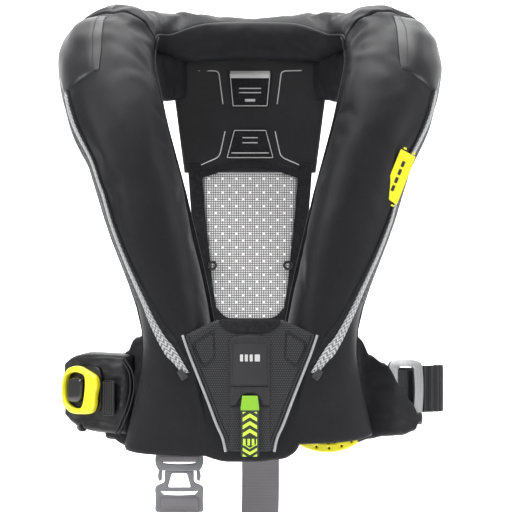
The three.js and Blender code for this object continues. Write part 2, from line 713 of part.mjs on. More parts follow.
const pipingLine = chestSide.map((spot) => point(spot.x + PIPING_RADIUS + SEWN_GAP, spot.y, PIPING_RADIUS + GAP));
for (const side of ['left', 'right']) {
  const line = pipingLine.map((spot) => (side === 'left' ? mirrored(spot) : spot.clone()));
  addMesh(chest, `${side}_piping`, tube(new THREE.CatmullRomCurve3(line), PIPING_RADIUS, 16, 6), SILVER);
}

const flapFoot = -FLAP_TOP - FLAP_HEIGHT;
const flapShape = new THREE.Shape();
flapShape.moveTo(FLAP_HALF, flapFoot);
flapShape.lineTo(FLAP_HALF, -FLAP_TOP - 4);
flapShape.quadraticCurveTo(0, -FLAP_TOP + 3, -FLAP_HALF, -FLAP_TOP - 4);
flapShape.lineTo(-FLAP_HALF, flapFoot);
flapShape.lineTo(-FLAP_NOTCH, flapFoot);
flapShape.absarc(0, flapFoot, FLAP_NOTCH, Math.PI, 0, true);
addMesh(chest, 'chest_flap', plate(flapShape, CHEST_WALL + GAP, FLAP_WALL, 6), COATED);
const tabBack = CHEST_WALL + 2 * GAP + FLAP_WALL;
const pocketHeight = CHEST_HEIGHT + flapFoot - GAP - 1;
const pocket = roundedShape(2 * FLAP_HALF, pocketHeight, 2, 0, flapFoot - GAP - pocketHeight / 2);
addMesh(chest, 'release_pocket', plate(pocket, CHEST_WALL + GAP, FLAP_WALL, 2), GRIP);
const tabTop = flapFoot + FLAP_NOTCH - 2;
const tabShape = roundedShape(TAB_WIDTH, TAB_LENGTH, 2, 0, tabTop - TAB_LENGTH / 2);
addMesh(chest, 'release_pull_tab', plate(tabShape, tabBack, TAB_WALL, 2), GREEN_FABRIC);

// Behind the chest panel: the release carrier and the soft loop that a tether clips to.
const carrier = plate(roundedShape(CARRIER_WIDTH, 50, 4, 0, -60), -SEWN_GAP - 4, 4, 2);
addMesh(chest, 'release_carrier', carrier, BLACK_PLASTIC);
const loopShape = frameShape(CARRIER_WIDTH - 10, 44, 10, 6);
addMesh(chest, 'tether_loop', plate(loopShape, -SEWN_GAP - 4 - GAP - 9, 9, 3).translate(0, -60, 0), WEBBING);

// ---- Crutch strap and its side-release buckle ---------------------------------------------------

const crutchPlace = leftPlaces[0];
const CRUTCH_Y = crutchPlace.at.y - crutchPlace.out.y * (crutchPlace.rise / 2 + SEAT_GAP + LINING_WALL / 2)
  + (crutchPlace.across.y / crutchPlace.across.x) * (CRUTCH_X - crutchPlace.at.x) - CRUTCH_FORWARD;
const crutchSpot = facingGroup(point(CRUTCH_X, CRUTCH_Y, BUCKLE_TOP_Z), point(0, -1, 0));
const half = BUCKLE_WALL / 2;

// The male half: a bar for the webbing, a neck and the plate that the prongs spring from.
const male = join(
  plate(roundedShape(BUCKLE_WIDTH - 2, MALE_HEAD, 5, 0, -MALE_HEAD / 2), -half, BUCKLE_WALL, 3),
  plate(roundedShape(MALE_TONGUE, 9, 1, 0, -MALE_HEAD - 3), -half + 3.5, BUCKLE_WALL - 7, 1),
);
const maleSlot = plate(roundedShape(BUCKLE_WIDTH - 11, 5.6, 2, 0, -MALE_HEAD / 2 + 0.5), -half - 1, BUCKLE_WALL + 2, 3);
addMesh(crutchSpot, 'crutch_buckle_male', cut(male, maleSlot), GREY_PLASTIC);

// The female half: a hollow body with a window in front, open at the top and at both sides.
const femaleTop = -MALE_HEAD - FEMALE_GAP;
const femaleBody = plate(
  roundedShape(BUCKLE_WIDTH, FEMALE_HEIGHT, 5, 0, femaleTop - FEMALE_HEIGHT / 2), -half, BUCKLE_WALL, 3);
const pocketInside = plate(
  roundedShape(BUCKLE_WIDTH - 8, 20, 1, 0, femaleTop - 9), -half + 2, BUCKLE_WALL - 4, 1);
const sideSlits = plate(
  roundedShape(BUCKLE_WIDTH + 4, 12, 1, 0, femaleTop - 9), -half + 2, BUCKLE_WALL - 4, 1);
const windowShape = new THREE.Shape([
  new THREE.Vector2(-8, femaleTop - 2.5),
  new THREE.Vector2(-12, femaleTop - 17),
  new THREE.Vector2(12, femaleTop - 17),
  new THREE.Vector2(8, femaleTop - 2.5),
]);
const window = plate(windowShape, -half - 1, BUCKLE_WALL + 2, 1);
const femaleSlot = (low) => plate(
  roundedShape(BUCKLE_WIDTH - 11, 5.6, 2, 0, femaleTop - low), -half - 1, BUCKLE_WALL + 2, 3);
const female = cut(femaleBody, pocketInside, sideSlits, window, femaleSlot(24.5), femaleSlot(LOW_SLOT));
addMesh(crutchSpot, 'crutch_buckle_female', female, GREY_PLASTIC);
for (const side of ['left', 'right']) {
  const sign = sideSign[side];
  const prong = plate(
    roundedShape(PRONG_WIDTH, PRONG_LENGTH, 1.5, sign * PRONG_X, -MALE_HEAD - GAP - PRONG_LENGTH / 2),
    -half + 3, BUCKLE_WALL - 6, 2);
  addMesh(crutchSpot, `crutch_buckle_${side}_prong`, prong, GREY_PLASTIC);
}

// A web along a line of points in which its width always runs straight across the body.
function web(line, width, steps) {
  const curve = new THREE.CatmullRomCurve3(line, false, 'centripetal');
  const places = Array.from({ length: steps + 1 }, (_, k) => {
    const along = curve.getTangentAt(k / steps);
    const across = point(1, 0, 0);
    const out = along.clone().cross(across).normalize();
    return { at: curve.getPointAt(k / steps), across, out };
  });
  return loft(places, () => box(width / 2, -WEB_WALL / 2, WEB_WALL / 2));
}

const wrap = half + WEB_WALL / 2 + SEAT_GAP + 0.25;
const slotZ = BUCKLE_TOP_Z - MALE_HEAD / 2 + 0.5;
const crutchPoint = (y, z, x = CRUTCH_X) => point(x, CRUTCH_Y + y, z);
addMesh(jacket, 'crutch_front_loop', web([
  crutchPoint(-wrap + 2, BUCKLE_TOP_Z + FRONT_LOOP_RISE),
  crutchPoint(-wrap, BUCKLE_TOP_Z),
  crutchPoint(-wrap + 1, slotZ + 1.4),
  crutchPoint(-wrap + 3.4, slotZ),
  crutchPoint(wrap - 3.4, slotZ),
  crutchPoint(wrap - 1, slotZ + 1.4),
  crutchPoint(wrap, BUCKLE_TOP_Z),
  crutchPoint(wrap - 2, BUCKLE_TOP_Z + FRONT_LOOP_RISE),
], CRUTCH_WEB, 26), GREY_WEBBING);

const lowSlotZ = BUCKLE_TOP_Z + femaleTop - LOW_SLOT;
const buckleFootZ = BUCKLE_TOP_Z + femaleTop - FEMALE_HEIGHT;
const turnMiddle = point((CRUTCH_X + CRUTCH_BACK_X) / 2, 0, CRUTCH_LOOP_Z);
addMesh(jacket, 'crutch_strap_front', web([
  crutchPoint(wrap + 0.4, buckleFootZ - 22),
  crutchPoint(wrap, buckleFootZ),
  crutchPoint(wrap - 1, lowSlotZ - 1.4),
  crutchPoint(wrap - 3.4, lowSlotZ),
  crutchPoint(-wrap + 3.4, lowSlotZ),
  crutchPoint(-wrap + 1, lowSlotZ - 1.4),
  crutchPoint(-wrap, buckleFootZ),
  crutchPoint(-wrap + 1, buckleFootZ - 22),
  crutchPoint(6, buckleFootZ - 62, CRUTCH_X + 4),
  point(turnMiddle.x - 22, -72, CRUTCH_LOOP_Z + 18),
  point(turnMiddle.x - 9, -32, CRUTCH_LOOP_Z + 3),
  point(turnMiddle.x, -GAP / 2, CRUTCH_LOOP_Z),
], CRUTCH_WEB, 46), GREY_WEBBING);
const strapEndY = BACK_BELT_DEPTH - WEB_WALL / 2 - STRAP_INSET;
addMesh(jacket, 'crutch_strap_back', web([
  point(turnMiddle.x, GAP / 2, CRUTCH_LOOP_Z),
  point(turnMiddle.x + 8, 20, CRUTCH_LOOP_Z + 1),
  point(turnMiddle.x + 26, 62, CRUTCH_LOOP_Z + 20),
  point(CRUTCH_BACK_X - 3, 96, CRUTCH_LOOP_Z + 62),
  point(CRUTCH_BACK_X, strapEndY - 2, CRUTCH_LOOP_Z + 120),
  point(CRUTCH_BACK_X, strapEndY, BELT_Z - BELT_WIDTH / 2),
  point(CRUTCH_BACK_X, strapEndY, BELT_Z + BELT_WIDTH / 2 - 4),
], CRUTCH_WEB, 26), GREY_WEBBING);

// ---- Badges and tag ------------------------------------------------------------------------------

const yokeSlope = point(0, backDepth(YOKE_TOP_Z) - backDepth(YOKE_FOOT_Z), YOKE_TOP_Z - YOKE_FOOT_Z).normalize();
function yokeBadge(name, z, width, height) {
  const fall = BACK_CURVE * (width / 2) ** 2;
  const out = point(0, -yokeSlope.z, yokeSlope.y);
  const spot = facingGroup(point(0, backDepth(z) - fall - SEWN_GAP, z), out, yokeSlope);
  addMesh(spot, name, plate(roundedShape(width, height, 3), 0, BADGE_WALL, 3), COATED);
}
yokeBadge('upper_yoke_badge', -41, 48, 42);
yokeBadge('lower_yoke_badge', -105, 56, 34);

// A spot on the cover's dome, facing straight out of it.
function domeSpot(place, angle, lift) {
  const [a, b] = dome(place, angle);
  const [a2, b2] = dome(place, angle + 0.02);
  const at = place.at.clone().addScaledVector(place.across, a).addScaledVector(place.out, b);
  const slope = place.across.clone().multiplyScalar(a2 - a).addScaledVector(place.out, b2 - b).normalize();
  const out = place.out.clone().addScaledVector(slope, -place.out.dot(slope)).normalize();
  return { at: at.addScaledVector(out, lift), out };
}
const tagPlace = rightPlaces[ringAt(TAG_Z)];
const tagSpot = domeSpot(tagPlace, TAG_ANGLE, OVERLAY_GAP + ZIP_THICKNESS + SEWN_GAP);
const tag = facingGroup(tagSpot.at, tagSpot.out, tagPlace.along);
addMesh(tag, 'yellow_tag', plate(roundedShape(22, 60, 1.5), 0, BADGE_WALL, 2), YELLOW_PLASTIC);

// ---- Zip sliders -----------------------------------------------------------------------------------

for (const side of ['left', 'right']) {
  const [low, high] = [0, 1].map((k) => domeSpot(
    sidePlaces[side][zipFoot + k], zipAngle(k / (zipHead - zipFoot)), OVERLAY_GAP + ZIP_THICKNESS + SEWN_GAP));
  const up = high.at.clone().sub(low.at).normalize();
  const out = low.out.clone().addScaledVector(up, -low.out.dot(up)).normalize();
  const slider = facingGroup(low.at, out, up);
  addMesh(slider, `${side}_zip_slider`, plate(roundedShape(9, 13, 2.5, 0, 7), 0, 4, 3), STEEL);
}

// ---- Firing gear in the right lobe -----------------------------------------------------------------

// A group on top of the packed bladder, at the ring nearest a height.
function insideGroup(side, z, lift, length) {
  const place = sidePlaces[side][ringAt(z)];
  const end = sidePlaces[side][ringAt(z + length)];
  const up = end.at.clone().sub(place.at).normalize();
  const out = place.out.clone().addScaledVector(up, -place.out.dot(up));
  const seat = -place.rise / 2 - SEAT_GAP + BLADDER_GAP + BLADDER_FOLD + SEWN_GAP + lift;
  return facingGroup(place.at.clone().addScaledVector(place.out, seat), out, up);
}
const lathe = (profile, sides) => new THREE.LatheGeometry(profile.map(([r, y]) => new THREE.Vector2(r, y)), sides);
const firing = insideGroup('right', INFLATOR_Z, 1.3, CYLINDER_LENGTH + INFLATOR_HEIGHT / 2);
const bodyHalf = INFLATOR_HEIGHT / 2;
const inflator = plate(roundedShape(34, INFLATOR_HEIGHT, 6), 0, 26, 3);
addMesh(firing, 'inflator_body', inflator, BLACK_PLASTIC);
const cylinder = lathe([
  [0, 0], [7, 0], [7, 9], [CYLINDER_RADIUS, 22], [CYLINDER_RADIUS, CYLINDER_LENGTH - 8],
  [CYLINDER_RADIUS - 7, CYLINDER_LENGTH], [0, CYLINDER_LENGTH],
], 20);
cylinder.translate(0, bodyHalf + GAP, CYLINDER_LIFT);
addMesh(firing, 'co2_cylinder', cylinder, STEEL);
const inflatorCap = lathe([[0, 0], [11, 0], [12, 2], [12, 10], [0, 10]], 16);
inflatorCap.translate(-3, -bodyHalf - GAP - 10, 13);
addMesh(firing, 'inflator_cap', inflatorCap, YELLOW_PLASTIC);
const leverPivot = { x: 20, y: -6 };
const lever = plate(roundedShape(LEVER_LENGTH, 8, 3.9, leverPivot.x + LEVER_LENGTH / 2 - 2, leverPivot.y), 8, 5, 4);
addMesh(firing, 'firing_lever', lever, YELLOW_PLASTIC);

// The pull handle below the hem and the cord that runs from it to the lever.
jacket.updateMatrixWorld(true);
const leverTip = firing.localToWorld(point(leverPivot.x + LEVER_LENGTH - 8, leverPivot.y - 5, 10.5));
const handleY = leverTip.y;
const handleCurve = new THREE.QuadraticBezierCurve3(
  point(HANDLE_X - HANDLE_LENGTH / 2, handleY, HANDLE_Z),
  point(HANDLE_X + 2, handleY, HANDLE_Z - 16),
  point(HANDLE_X + HANDLE_LENGTH / 2, handleY, HANDLE_Z + 2),
);
const handlePlaces = Array.from({ length: 13 }, (_, k) => {
  const along = handleCurve.getTangent(k / 12);
  return { at: handleCurve.getPoint(k / 12), across: point(-along.z, 0, along.x), out: point(0, -1, 0) };
});
const handleOutline = [[-4, -4], [4, -4], [HANDLE_HALF, 0], [4, 4], [-4, 4], [-HANDLE_HALF, 0]];
addMesh(jacket, 'pull_handle', loft(handlePlaces, () => handleOutline), YELLOW_PLASTIC);
const lanyardTop = leverTip.clone();
const lanyardFoot = point(leverTip.x, handleY, HANDLE_Z + 2 + HANDLE_HALF - 0.9);
addMesh(jacket, 'pull_lanyard', tube(new THREE.LineCurve3(lanyardFoot, lanyardTop), 1.6, 3, 6), WEBBING);

// ---- Oral tube, whistle and light in the left lobe ---------------------------------------------------

const breathing = insideGroup('left', ORAL_Z, 1, 45);
const oralLift = ORAL_RADIUS + 0.6;
const neckRadius = ORAL_RADIUS - 1.5;
const boreRadius = ORAL_RADIUS - 4;
const oralTube = lathe([
  [boreRadius, -ORAL_HALF_LENGTH], [ORAL_RADIUS, -ORAL_HALF_LENGTH], [ORAL_RADIUS, ORAL_HALF_LENGTH - 7],
  [neckRadius, ORAL_HALF_LENGTH - 7], [neckRadius, ORAL_HALF_LENGTH], [boreRadius, ORAL_HALF_LENGTH],
  [boreRadius, -ORAL_HALF_LENGTH],
], 14);
addMesh(breathing, 'oral_tube', oralTube.translate(ORAL_X, 0, oralLift), BLACK_PLASTIC);
addMesh(breathing, 'whistle', plate(roundedShape(13, 42, 4, WHISTLE_X, 6), 0, 9, 3), YELLOW_PLASTIC);
const beacon = insideGroup('left', LIGHT_Z, 1, 40);
addMesh(beacon, 'light_unit', plate(roundedShape(26, 42, 5), 0, 15, 3), YELLOW_PLASTIC);
const capFoot = ORAL_HALF_LENGTH + 1;
const capTop = capFoot + ORAL_CAP_HEIGHT;
const capProfile = [[0, capFoot], [ORAL_CAP_RADIUS, capFoot], [ORAL_CAP_RADIUS, capTop], [0, capTop]];
addMesh(breathing, 'oral_tube_cap', lathe(capProfile, 14).translate(ORAL_X, 0, oralLift), YELLOW_PLASTIC);

export default jacket;
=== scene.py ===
import math

import bpy
import bmesh
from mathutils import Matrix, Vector, noise
from mathutils.bvhtree import BVHTree


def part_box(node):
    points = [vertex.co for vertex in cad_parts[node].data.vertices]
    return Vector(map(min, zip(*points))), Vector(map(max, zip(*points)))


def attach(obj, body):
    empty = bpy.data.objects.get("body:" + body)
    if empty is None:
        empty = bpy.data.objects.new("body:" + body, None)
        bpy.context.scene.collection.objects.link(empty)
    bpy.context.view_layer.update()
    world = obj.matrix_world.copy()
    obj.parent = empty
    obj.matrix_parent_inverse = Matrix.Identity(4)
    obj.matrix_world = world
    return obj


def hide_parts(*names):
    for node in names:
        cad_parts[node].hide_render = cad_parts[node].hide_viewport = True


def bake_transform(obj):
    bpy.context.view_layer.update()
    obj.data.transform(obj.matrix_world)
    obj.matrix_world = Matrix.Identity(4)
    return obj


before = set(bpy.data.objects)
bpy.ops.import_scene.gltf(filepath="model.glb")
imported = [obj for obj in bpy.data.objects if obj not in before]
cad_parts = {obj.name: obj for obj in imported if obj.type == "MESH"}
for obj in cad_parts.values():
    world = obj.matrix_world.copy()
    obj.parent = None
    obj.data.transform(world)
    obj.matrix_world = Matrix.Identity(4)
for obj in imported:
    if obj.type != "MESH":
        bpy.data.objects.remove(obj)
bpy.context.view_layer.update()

# ---- Camera, floor and lights ---------------------------------------------------------------
# The jacket hangs upright in front of a white sweep, and the camera looks straight at its front.
# The sweep is one sheet: a floor that curves up into a back wall.
MM = 0.001
VIEW_WIDTH = 0.589  # what the frame takes in at the jacket's front
VIEW_MIDDLE = Vector((0.007, -0.11, -0.237))
CAMERA_DISTANCE = 8.0

camera_data = bpy.data.cameras.new("front_camera")
camera_data.sensor_width = 36
camera_data.lens = 36 * CAMERA_DISTANCE / VIEW_WIDTH
camera = bpy.data.objects.new("front_camera", camera_data)
camera.location = VIEW_MIDDLE - Vector((0, CAMERA_DISTANCE, 0))
camera.rotation_euler = (math.radians(90), 0, 0)
bpy.context.collection.objects.link(camera)
bpy.context.scene.camera = camera


def mesh_object(name, points, faces, material, smooth=True):
    mesh = bpy.data.meshes.new(name)
    mesh.from_pydata([tuple(p) for p in points], [], faces)
    mesh.validate()
    mesh.shade_smooth() if smooth else mesh.shade_flat()
    obj = bpy.data.objects.new(name, mesh)
    bpy.context.collection.objects.link(obj)
    if material:
        mesh.materials.append(material)
    return obj


def link(tree, start, end):
    tree.links.new(start, end)


def plain_material(name, colour, roughness):
    material = bpy.data.materials.new(name)
    material.use_nodes = True
    shader = material.node_tree.nodes["Principled BSDF"]
    shader.inputs["Base Color"].default_value = (*colour, 1)
    shader.inputs["Roughness"].default_value = roughness
    return material


FLOOR_Z = -0.70
SWEEP_RADIUS = 0.8
sweep_line = [(-4, FLOOR_Z), (1.2, FLOOR_Z)]
for step in range(1, 13):
    turn = math.radians(90) * step / 12
    sweep_line.append((1.2 + SWEEP_RADIUS * math.sin(turn), FLOOR_Z + SWEEP_RADIUS * (1 - math.cos(turn))))
sweep_line.append((1.2 + SWEEP_RADIUS, 4))
sweep_points = [(x, y, z) for y, z in sweep_line for x in (-5, 5)]
sweep_faces = [(2 * k, 2 * k + 1, 2 * k + 3, 2 * k + 2) for k in range(len(sweep_line) - 1)]
paper = plain_material("sweep_paper", (0.93, 0.93, 0.93), 0.9)
paper_tree = paper.node_tree
see_through = paper_tree.nodes.new("ShaderNodeMixShader")
link(paper_tree, paper_tree.nodes.new("ShaderNodeNewGeometry").outputs["Backfacing"],
     see_through.inputs["Fac"])
link(paper_tree, paper_tree.nodes["Principled BSDF"].outputs["BSDF"], see_through.inputs[1])
link(paper_tree, paper_tree.nodes.new("ShaderNodeBsdfTransparent").outputs["BSDF"], see_through.inputs[2])
link(paper_tree, see_through.outputs["Shader"], paper_tree.nodes["Material Output"].inputs["Surface"])
sweep = mesh_object("sweep", sweep_points, sweep_faces, paper)


def area_light(name, place, aim, size, watts):
    data = bpy.data.lights.new(name, "AREA")
    data.shape = "SQUARE"
    data.size = size
    data.energy = watts
    light = bpy.data.objects.new(name, data)
    light.location = place
    light.rotation_euler = (Vector(aim) - Vector(place)).to_track_quat("-Z", "Y").to_euler()
    bpy.context.collection.objects.link(light)


area_light("top_light", (-0.3, -0.9, 1.9), (0, 0, -0.1), 1.0, 34)
area_light("left_light", (-2.0, -1.3, 0.9), (0, 0, -0.2), 0.7, 40)
area_light("right_light", (2.0, -1.0, 0.5), (0, 0, -0.25), 0.7, 30)
area_light("wall_light", (0, 0.8, 1.6), (0, 2.0, -0.2), 1.6, 70)

world = bpy.data.worlds.new("white_room")
world.use_nodes = True
world.node_tree.nodes["Background"].inputs["Color"].default_value = (1, 1, 1, 1)
world.node_tree.nodes["Background"].inputs["Strength"].default_value = 0.55
bpy.context.scene.world = world
bpy.context.scene.view_settings.view_transform = "Standard"

# ---- Cloth finishes -------------------------------------------------------------------------
# Every cloth here is woven, so one weave group serves them all: crossed threads, slubs and dust.
# Each finish then sets its own colour, thread size, sheen and roughness.


def new_group(name, inputs, outputs):
    group = bpy.data.node_groups.new(name, "ShaderNodeTree")
    for label, kind, value in inputs:
        socket = group.interface.new_socket(label, in_out="INPUT", socket_type=kind)
        socket.default_value = value
    for label, kind in outputs:
        group.interface.new_socket(label, in_out="OUTPUT", socket_type=kind)
    return group, group.nodes.new("NodeGroupInput"), group.nodes.new("NodeGroupOutput")


def math_node(tree, kind, first, second=None):
    node = tree.nodes.new("ShaderNodeMath")
    node.operation = kind
    for index, value in enumerate((first, second)):
        if value is None:
            continue
        if isinstance(value, (int, float)):
            node.inputs[index].default_value = value
        else:
            link(tree, value, node.inputs[index])
    return node.outputs[0]


def mix_colour(tree, factor, first, second):
    node = tree.nodes.new("ShaderNodeMix")
    node.data_type = "RGBA"
    for socket, value in ((node.inputs[0], factor), (node.inputs[6], first), (node.inputs[7], second)):
        if isinstance(value, (int, float)):
            socket.default_value = value
        elif isinstance(value, tuple):
            socket.default_value = (*value, 1)
        else:
            link(tree, value, socket)
    return node.outputs[2]


weave, weave_in, weave_out = new_group(
    "cloth_weave",
    [("Colour", "NodeSocketColor", (0.03, 0.03, 0.03, 1)), ("Threads per metre", "NodeSocketFloat", 900.0),
     ("Dust", "NodeSocketFloat", 0.1), ("Roughness", "NodeSocketFloat", 0.7)],
    [("Colour", "NodeSocketColor"), ("Roughness", "NodeSocketFloat"), ("Height", "NodeSocketFloat")],
)
place = weave.nodes.new("ShaderNodeTexCoord").outputs["Object"]
split = weave.nodes.new("ShaderNodeSeparateXYZ")
link(weave, place, split.inputs[0])
threads = []
for axes in (("X", "Y"), ("Z", "Y")):
    sideways = math_node(weave, "MULTIPLY", split.outputs[axes[1]], 0.7)
    lean = math_node(weave, "ADD", split.outputs[axes[0]], sideways)
    turns = math_node(weave, "MULTIPLY", lean, weave_in.outputs["Threads per metre"])
    wave = math_node(weave, "SINE", math_node(weave, "MULTIPLY", turns, math.tau))
    threads.append(wave)
crossed = math_node(weave, "MAXIMUM", threads[0], threads[1])
slub = weave.nodes.new("ShaderNodeTexNoise")
slub.inputs["Scale"].default_value = 240
slub.inputs["Detail"].default_value = 3
link(weave, place, slub.inputs["Vector"])
cloud = weave.nodes.new("ShaderNodeTexNoise")
cloud.inputs["Scale"].default_value = 22
cloud.inputs["Detail"].default_value = 5
link(weave, place, cloud.inputs["Vector"])
height = math_node(weave, "ADD", math_node(weave, "MULTIPLY", crossed, 0.5),
                   math_node(weave, "MULTIPLY", slub.outputs["Fac"], 1.2))
link(weave, height, weave_out.inputs["Height"])
shade = math_node(weave, "MULTIPLY", cloud.outputs["Fac"], 0.5)
tone = mix_colour(weave, shade, weave_in.outputs["Colour"], (0, 0, 0))
dust_mask = math_node(weave, "MULTIPLY", math_node(weave, "POWER", slub.outputs["Fac"], 3),
                      weave_in.outputs["Dust"])
link(weave, mix_colour(weave, dust_mask, tone, (0.35, 0.35, 0.36)), weave_out.inputs["Colour"])
rough = math_node(weave, "ADD", weave_in.outputs["Roughness"],
                  math_node(weave, "MULTIPLY", math_node(weave, "SUBTRACT", cloud.outputs["Fac"], 0.5),
                            0.25))
link(weave, rough, weave_out.inputs["Roughness"])


def cloth_finish(name, colour, roughness=0.7, threads=900, dust=0.15, sheen=0.1, bump=0.25, coat=0.0,
                 specular=0.18):
    material = bpy.data.materials.new(name)
    material.use_nodes = True
    tree = material.node_tree
    shader = tree.nodes["Principled BSDF"]
    group = tree.nodes.new("ShaderNodeGroup")
    group.node_tree = weave
    group.name = "weave"
    group.inputs["Colour"].default_value = (*colour, 1)
    group.inputs["Threads per metre"].default_value = threads
    group.inputs["Dust"].default_value = dust
    group.inputs["Roughness"].default_value = roughness
    relief = tree.nodes.new("ShaderNodeBump")
    relief.inputs["Strength"].default_value = bump
    relief.inputs["Distance"].default_value = 0.0004
    link(tree, group.outputs["Colour"], shader.inputs["Base Color"])
    link(tree, group.outputs["Roughness"], shader.inputs["Roughness"])
    link(tree, group.outputs["Height"], relief.inputs["Height"])
    link(tree, relief.outputs["Normal"], shader.inputs["Normal"])
    shader.inputs["Sheen Weight"].default_value = sheen
    shader.inputs["Sheen Roughness"].default_value = 0.45
    shader.inputs["Specular IOR Level"].default_value = specular
    shader.inputs["Coat Weight"].default_value = coat
    shader.inputs["Coat Roughness"].default_value = 0.35
    return material


nylon = cloth_finish("black_nylon", (0.0055, 0.0055, 0.0075), 0.50, 900, 0.02, 0.015, 0.25, 0.0, 0.20)
lining_cloth = cloth_finish("lining_cloth", (0.008, 0.008, 0.010), 0.8, 700, 0.08, 0.05, 0.4)
coated_nylon = cloth_finish("coated_nylon", (0.007, 0.007, 0.009), 0.40, 1200, 0.03, 0.03, 0.15, 0.12, 0.25)

# ---- The roll: where the covers run -----------------------------------------------------------
# One padded roll goes from the left hem up the chest, over the shoulder, round the nape and down
# to the right hem. The stops give its middle line, outward direction, width and rise.
STOPS = [
    ((88, -128, -462), (0.26, -1, 0), 122, 36),
    ((88, -140, -318), (0.2, -1, 0.05), 88, 52),
    ((125, -138, -177), (0.2, -1, 0.2), 102, 52),
    ((157, -98, -58), (0.3, -0.8, 0.6), 105, 52),
    ((163, 0, 22), (0.3, 0.05, 1), 105, 52),
    ((108, 62, 22), (0.3, 0.5, 0.8), 63, 46),
    ((0, 88, 13), (0, 1, 0.25), 47, 40),
]
flip_x = lambda v: Vector((-v[0], v[1], v[2]))
left_stops = [(flip_x(at), flip_x(out), width, rise) for at, out, width, rise in STOPS]
right_stops = [(Vector(at), Vector(out), width, rise) for at, out, width, rise in STOPS[:-1]]
all_stops = left_stops + right_stops[::-1]
size_stops = [Vector((stop[2], stop[3], index)) for index, stop in enumerate(all_stops)]


def smooth_through(points, share):
    """A point on the centripetal curve through the stops."""
    last = len(points) - 1
    spot = min(max(share, 0), 1) * last
    index = min(int(spot), last - 1)
    w = spot - index
    p1, p2 = points[index], points[index + 1]
    p0 = points[index - 1] if index else p1 * 2 - p2
    p3 = points[index + 2] if index + 2 <= last else p2 * 2 - p1
    d0, d1, d2 = ((b - a).length ** 0.5 for a, b in ((p0, p1), (p1, p2), (p2, p3)))
    t1 = ((p1 - p0) / d0 - (p2 - p0) / (d0 + d1) + (p2 - p1) / d1) * d1
    t2 = ((p2 - p1) / d1 - (p3 - p1) / (d1 + d2) + (p3 - p2) / d2) * d1
    return p1 + t1 * w + (p1 * -3 + p2 * 3 - t1 * 2 - t2) * w * w + (p1 * 2 - p2 * 2 + t1 + t2) * w ** 3


class Place:
    """One cross-section of the roll, in metres."""

    def __init__(self, share):
        middle = [stop[0] for stop in all_stops]
        self.share = share
        self.at = smooth_through(middle, share) * MM
        ahead = smooth_through(middle, share + 1e-4) - smooth_through(middle, share - 1e-4)
        self.along = ahead.normalized()
        rough_out = smooth_through([stop[1] for stop in all_stops], share)
        self.out = (rough_out - self.along * rough_out.dot(self.along)).normalized()
        self.across = -self.along.cross(self.out)
        size = smooth_through(size_stops, share)
        self.width, self.rise = size.x * MM, size.y * MM

    def dome(self, angle, lift=0.0):
        """A point over the crown: angle 0 is the arm edge and pi the neck edge."""
        c, s = math.cos(angle), math.sin(angle)
        a = (self.width / 2 + lift) * math.copysign(abs(c) ** 0.8, c)
        b = -self.rise / 2 + (self.rise + lift) * max(s, 0) ** 0.8
        return self.at + self.across * a + self.out * b

    def back(self, side, lift=0.0):
        """A point on the lining side, with side from -1 at the neck to 1 at the arm."""
        return self.at + self.across * (self.width / 2 * side) - self.out * (self.rise / 2 + lift)


def share_at(height):
    """The share of the course where the left front of the roll is at a height."""
    low, high = 0.0, 4 / 12
    for _ in range(30):
        middle = (low + high) / 2
        low, high = (middle, high) if Place(middle).at.z < height else (low, middle)
    return low


def skin(name, rings, material, closed=True, caps=True):
    """A mesh through rings of points, with its ends filled."""
    count = len(rings[0])
    points = [p for ring in rings for p in ring]
    faces = []
    for r in range(len(rings) - 1):
        for k in range(count if closed else count - 1):
            here, beside = r * count + k, r * count + (k + 1) % count
            faces.append((here, beside, beside + count, here + count))
    if caps:
        faces.append(tuple(range(count))[::-1])
        last = (len(rings) - 1) * count
        faces.append(tuple(last + k for k in range(count)))
    obj = mesh_object(name, points, faces, material)
    work = bmesh.new()
    work.from_mesh(obj.data)
    bmesh.ops.recalc_face_normals(work, faces=work.faces)
    work.to_mesh(obj.data)
    work.free()
    return obj


SHOULDER_SHARE = 4 / 12
DOME_POINTS = 30
BACK_POINTS = 9


def soft_noise(point, size, seed=0.0):
    return noise.noise(Vector(point) / size + Vector((seed, seed * 1.7, seed * 0.6)))


def smooth_step(value, low, high):
    t = min(max((value - low) / (high - low), 0), 1)
    return t * t * (3 - 2 * t)


def pad_ring(spot, swell=-0.0012):
    """The padded outline of the roll, with shallow creases pressed into its crown."""
    ring = []
    stuffed = smooth_step(spot.at.z, -0.125, -0.055)
    nape = smooth_step(0.135 - abs(spot.at.x), 0.0, 0.075) * smooth_step(spot.at.y, 0.0, 0.05)
    raised = Vector((0, 0, 0.0075 * nape))
    for k in range(DOME_POINTS + 1):
        angle = math.pi * k / DOME_POINTS
        point = spot.dome(angle, swell)
        outward = (point - spot.at).normalized()
        edge = math.sin(angle)
        folds = 0.0016 * soft_noise(point, 0.055, 3.1) + 0.0007 * soft_noise(point, 0.02, 8.4)
        near_shoulder = math.exp(-((spot.at.z - 0.0) / 0.05) ** 2) * (1 if spot.at.y < 0.02 else 0.7)
        creases = 0.0022 * near_shoulder * math.sin(soft_noise(point, 0.05, 5.5) * 9 + angle * 3)
        fuller = 0.0085 * stuffed * (1 - nape) * max(math.cos(angle - 0.25), 0) ** 0.8
        near_hem = smooth_step(-0.33 - point.z, 0.0, 0.07)
        slanted = Vector((point.x * 0.5, point.y, point.z + point.x * 0.45))
        creases += 0.0016 * near_hem * soft_noise(slanted, 0.017, 2.4)
        ring.append(point + outward * ((folds + creases) * edge + fuller) + raised)
    for k in range(1, BACK_POINTS):
        side = -1 + 2 * k / BACK_POINTS
        ring.append(spot.back(side, swell) + raised)
    return ring


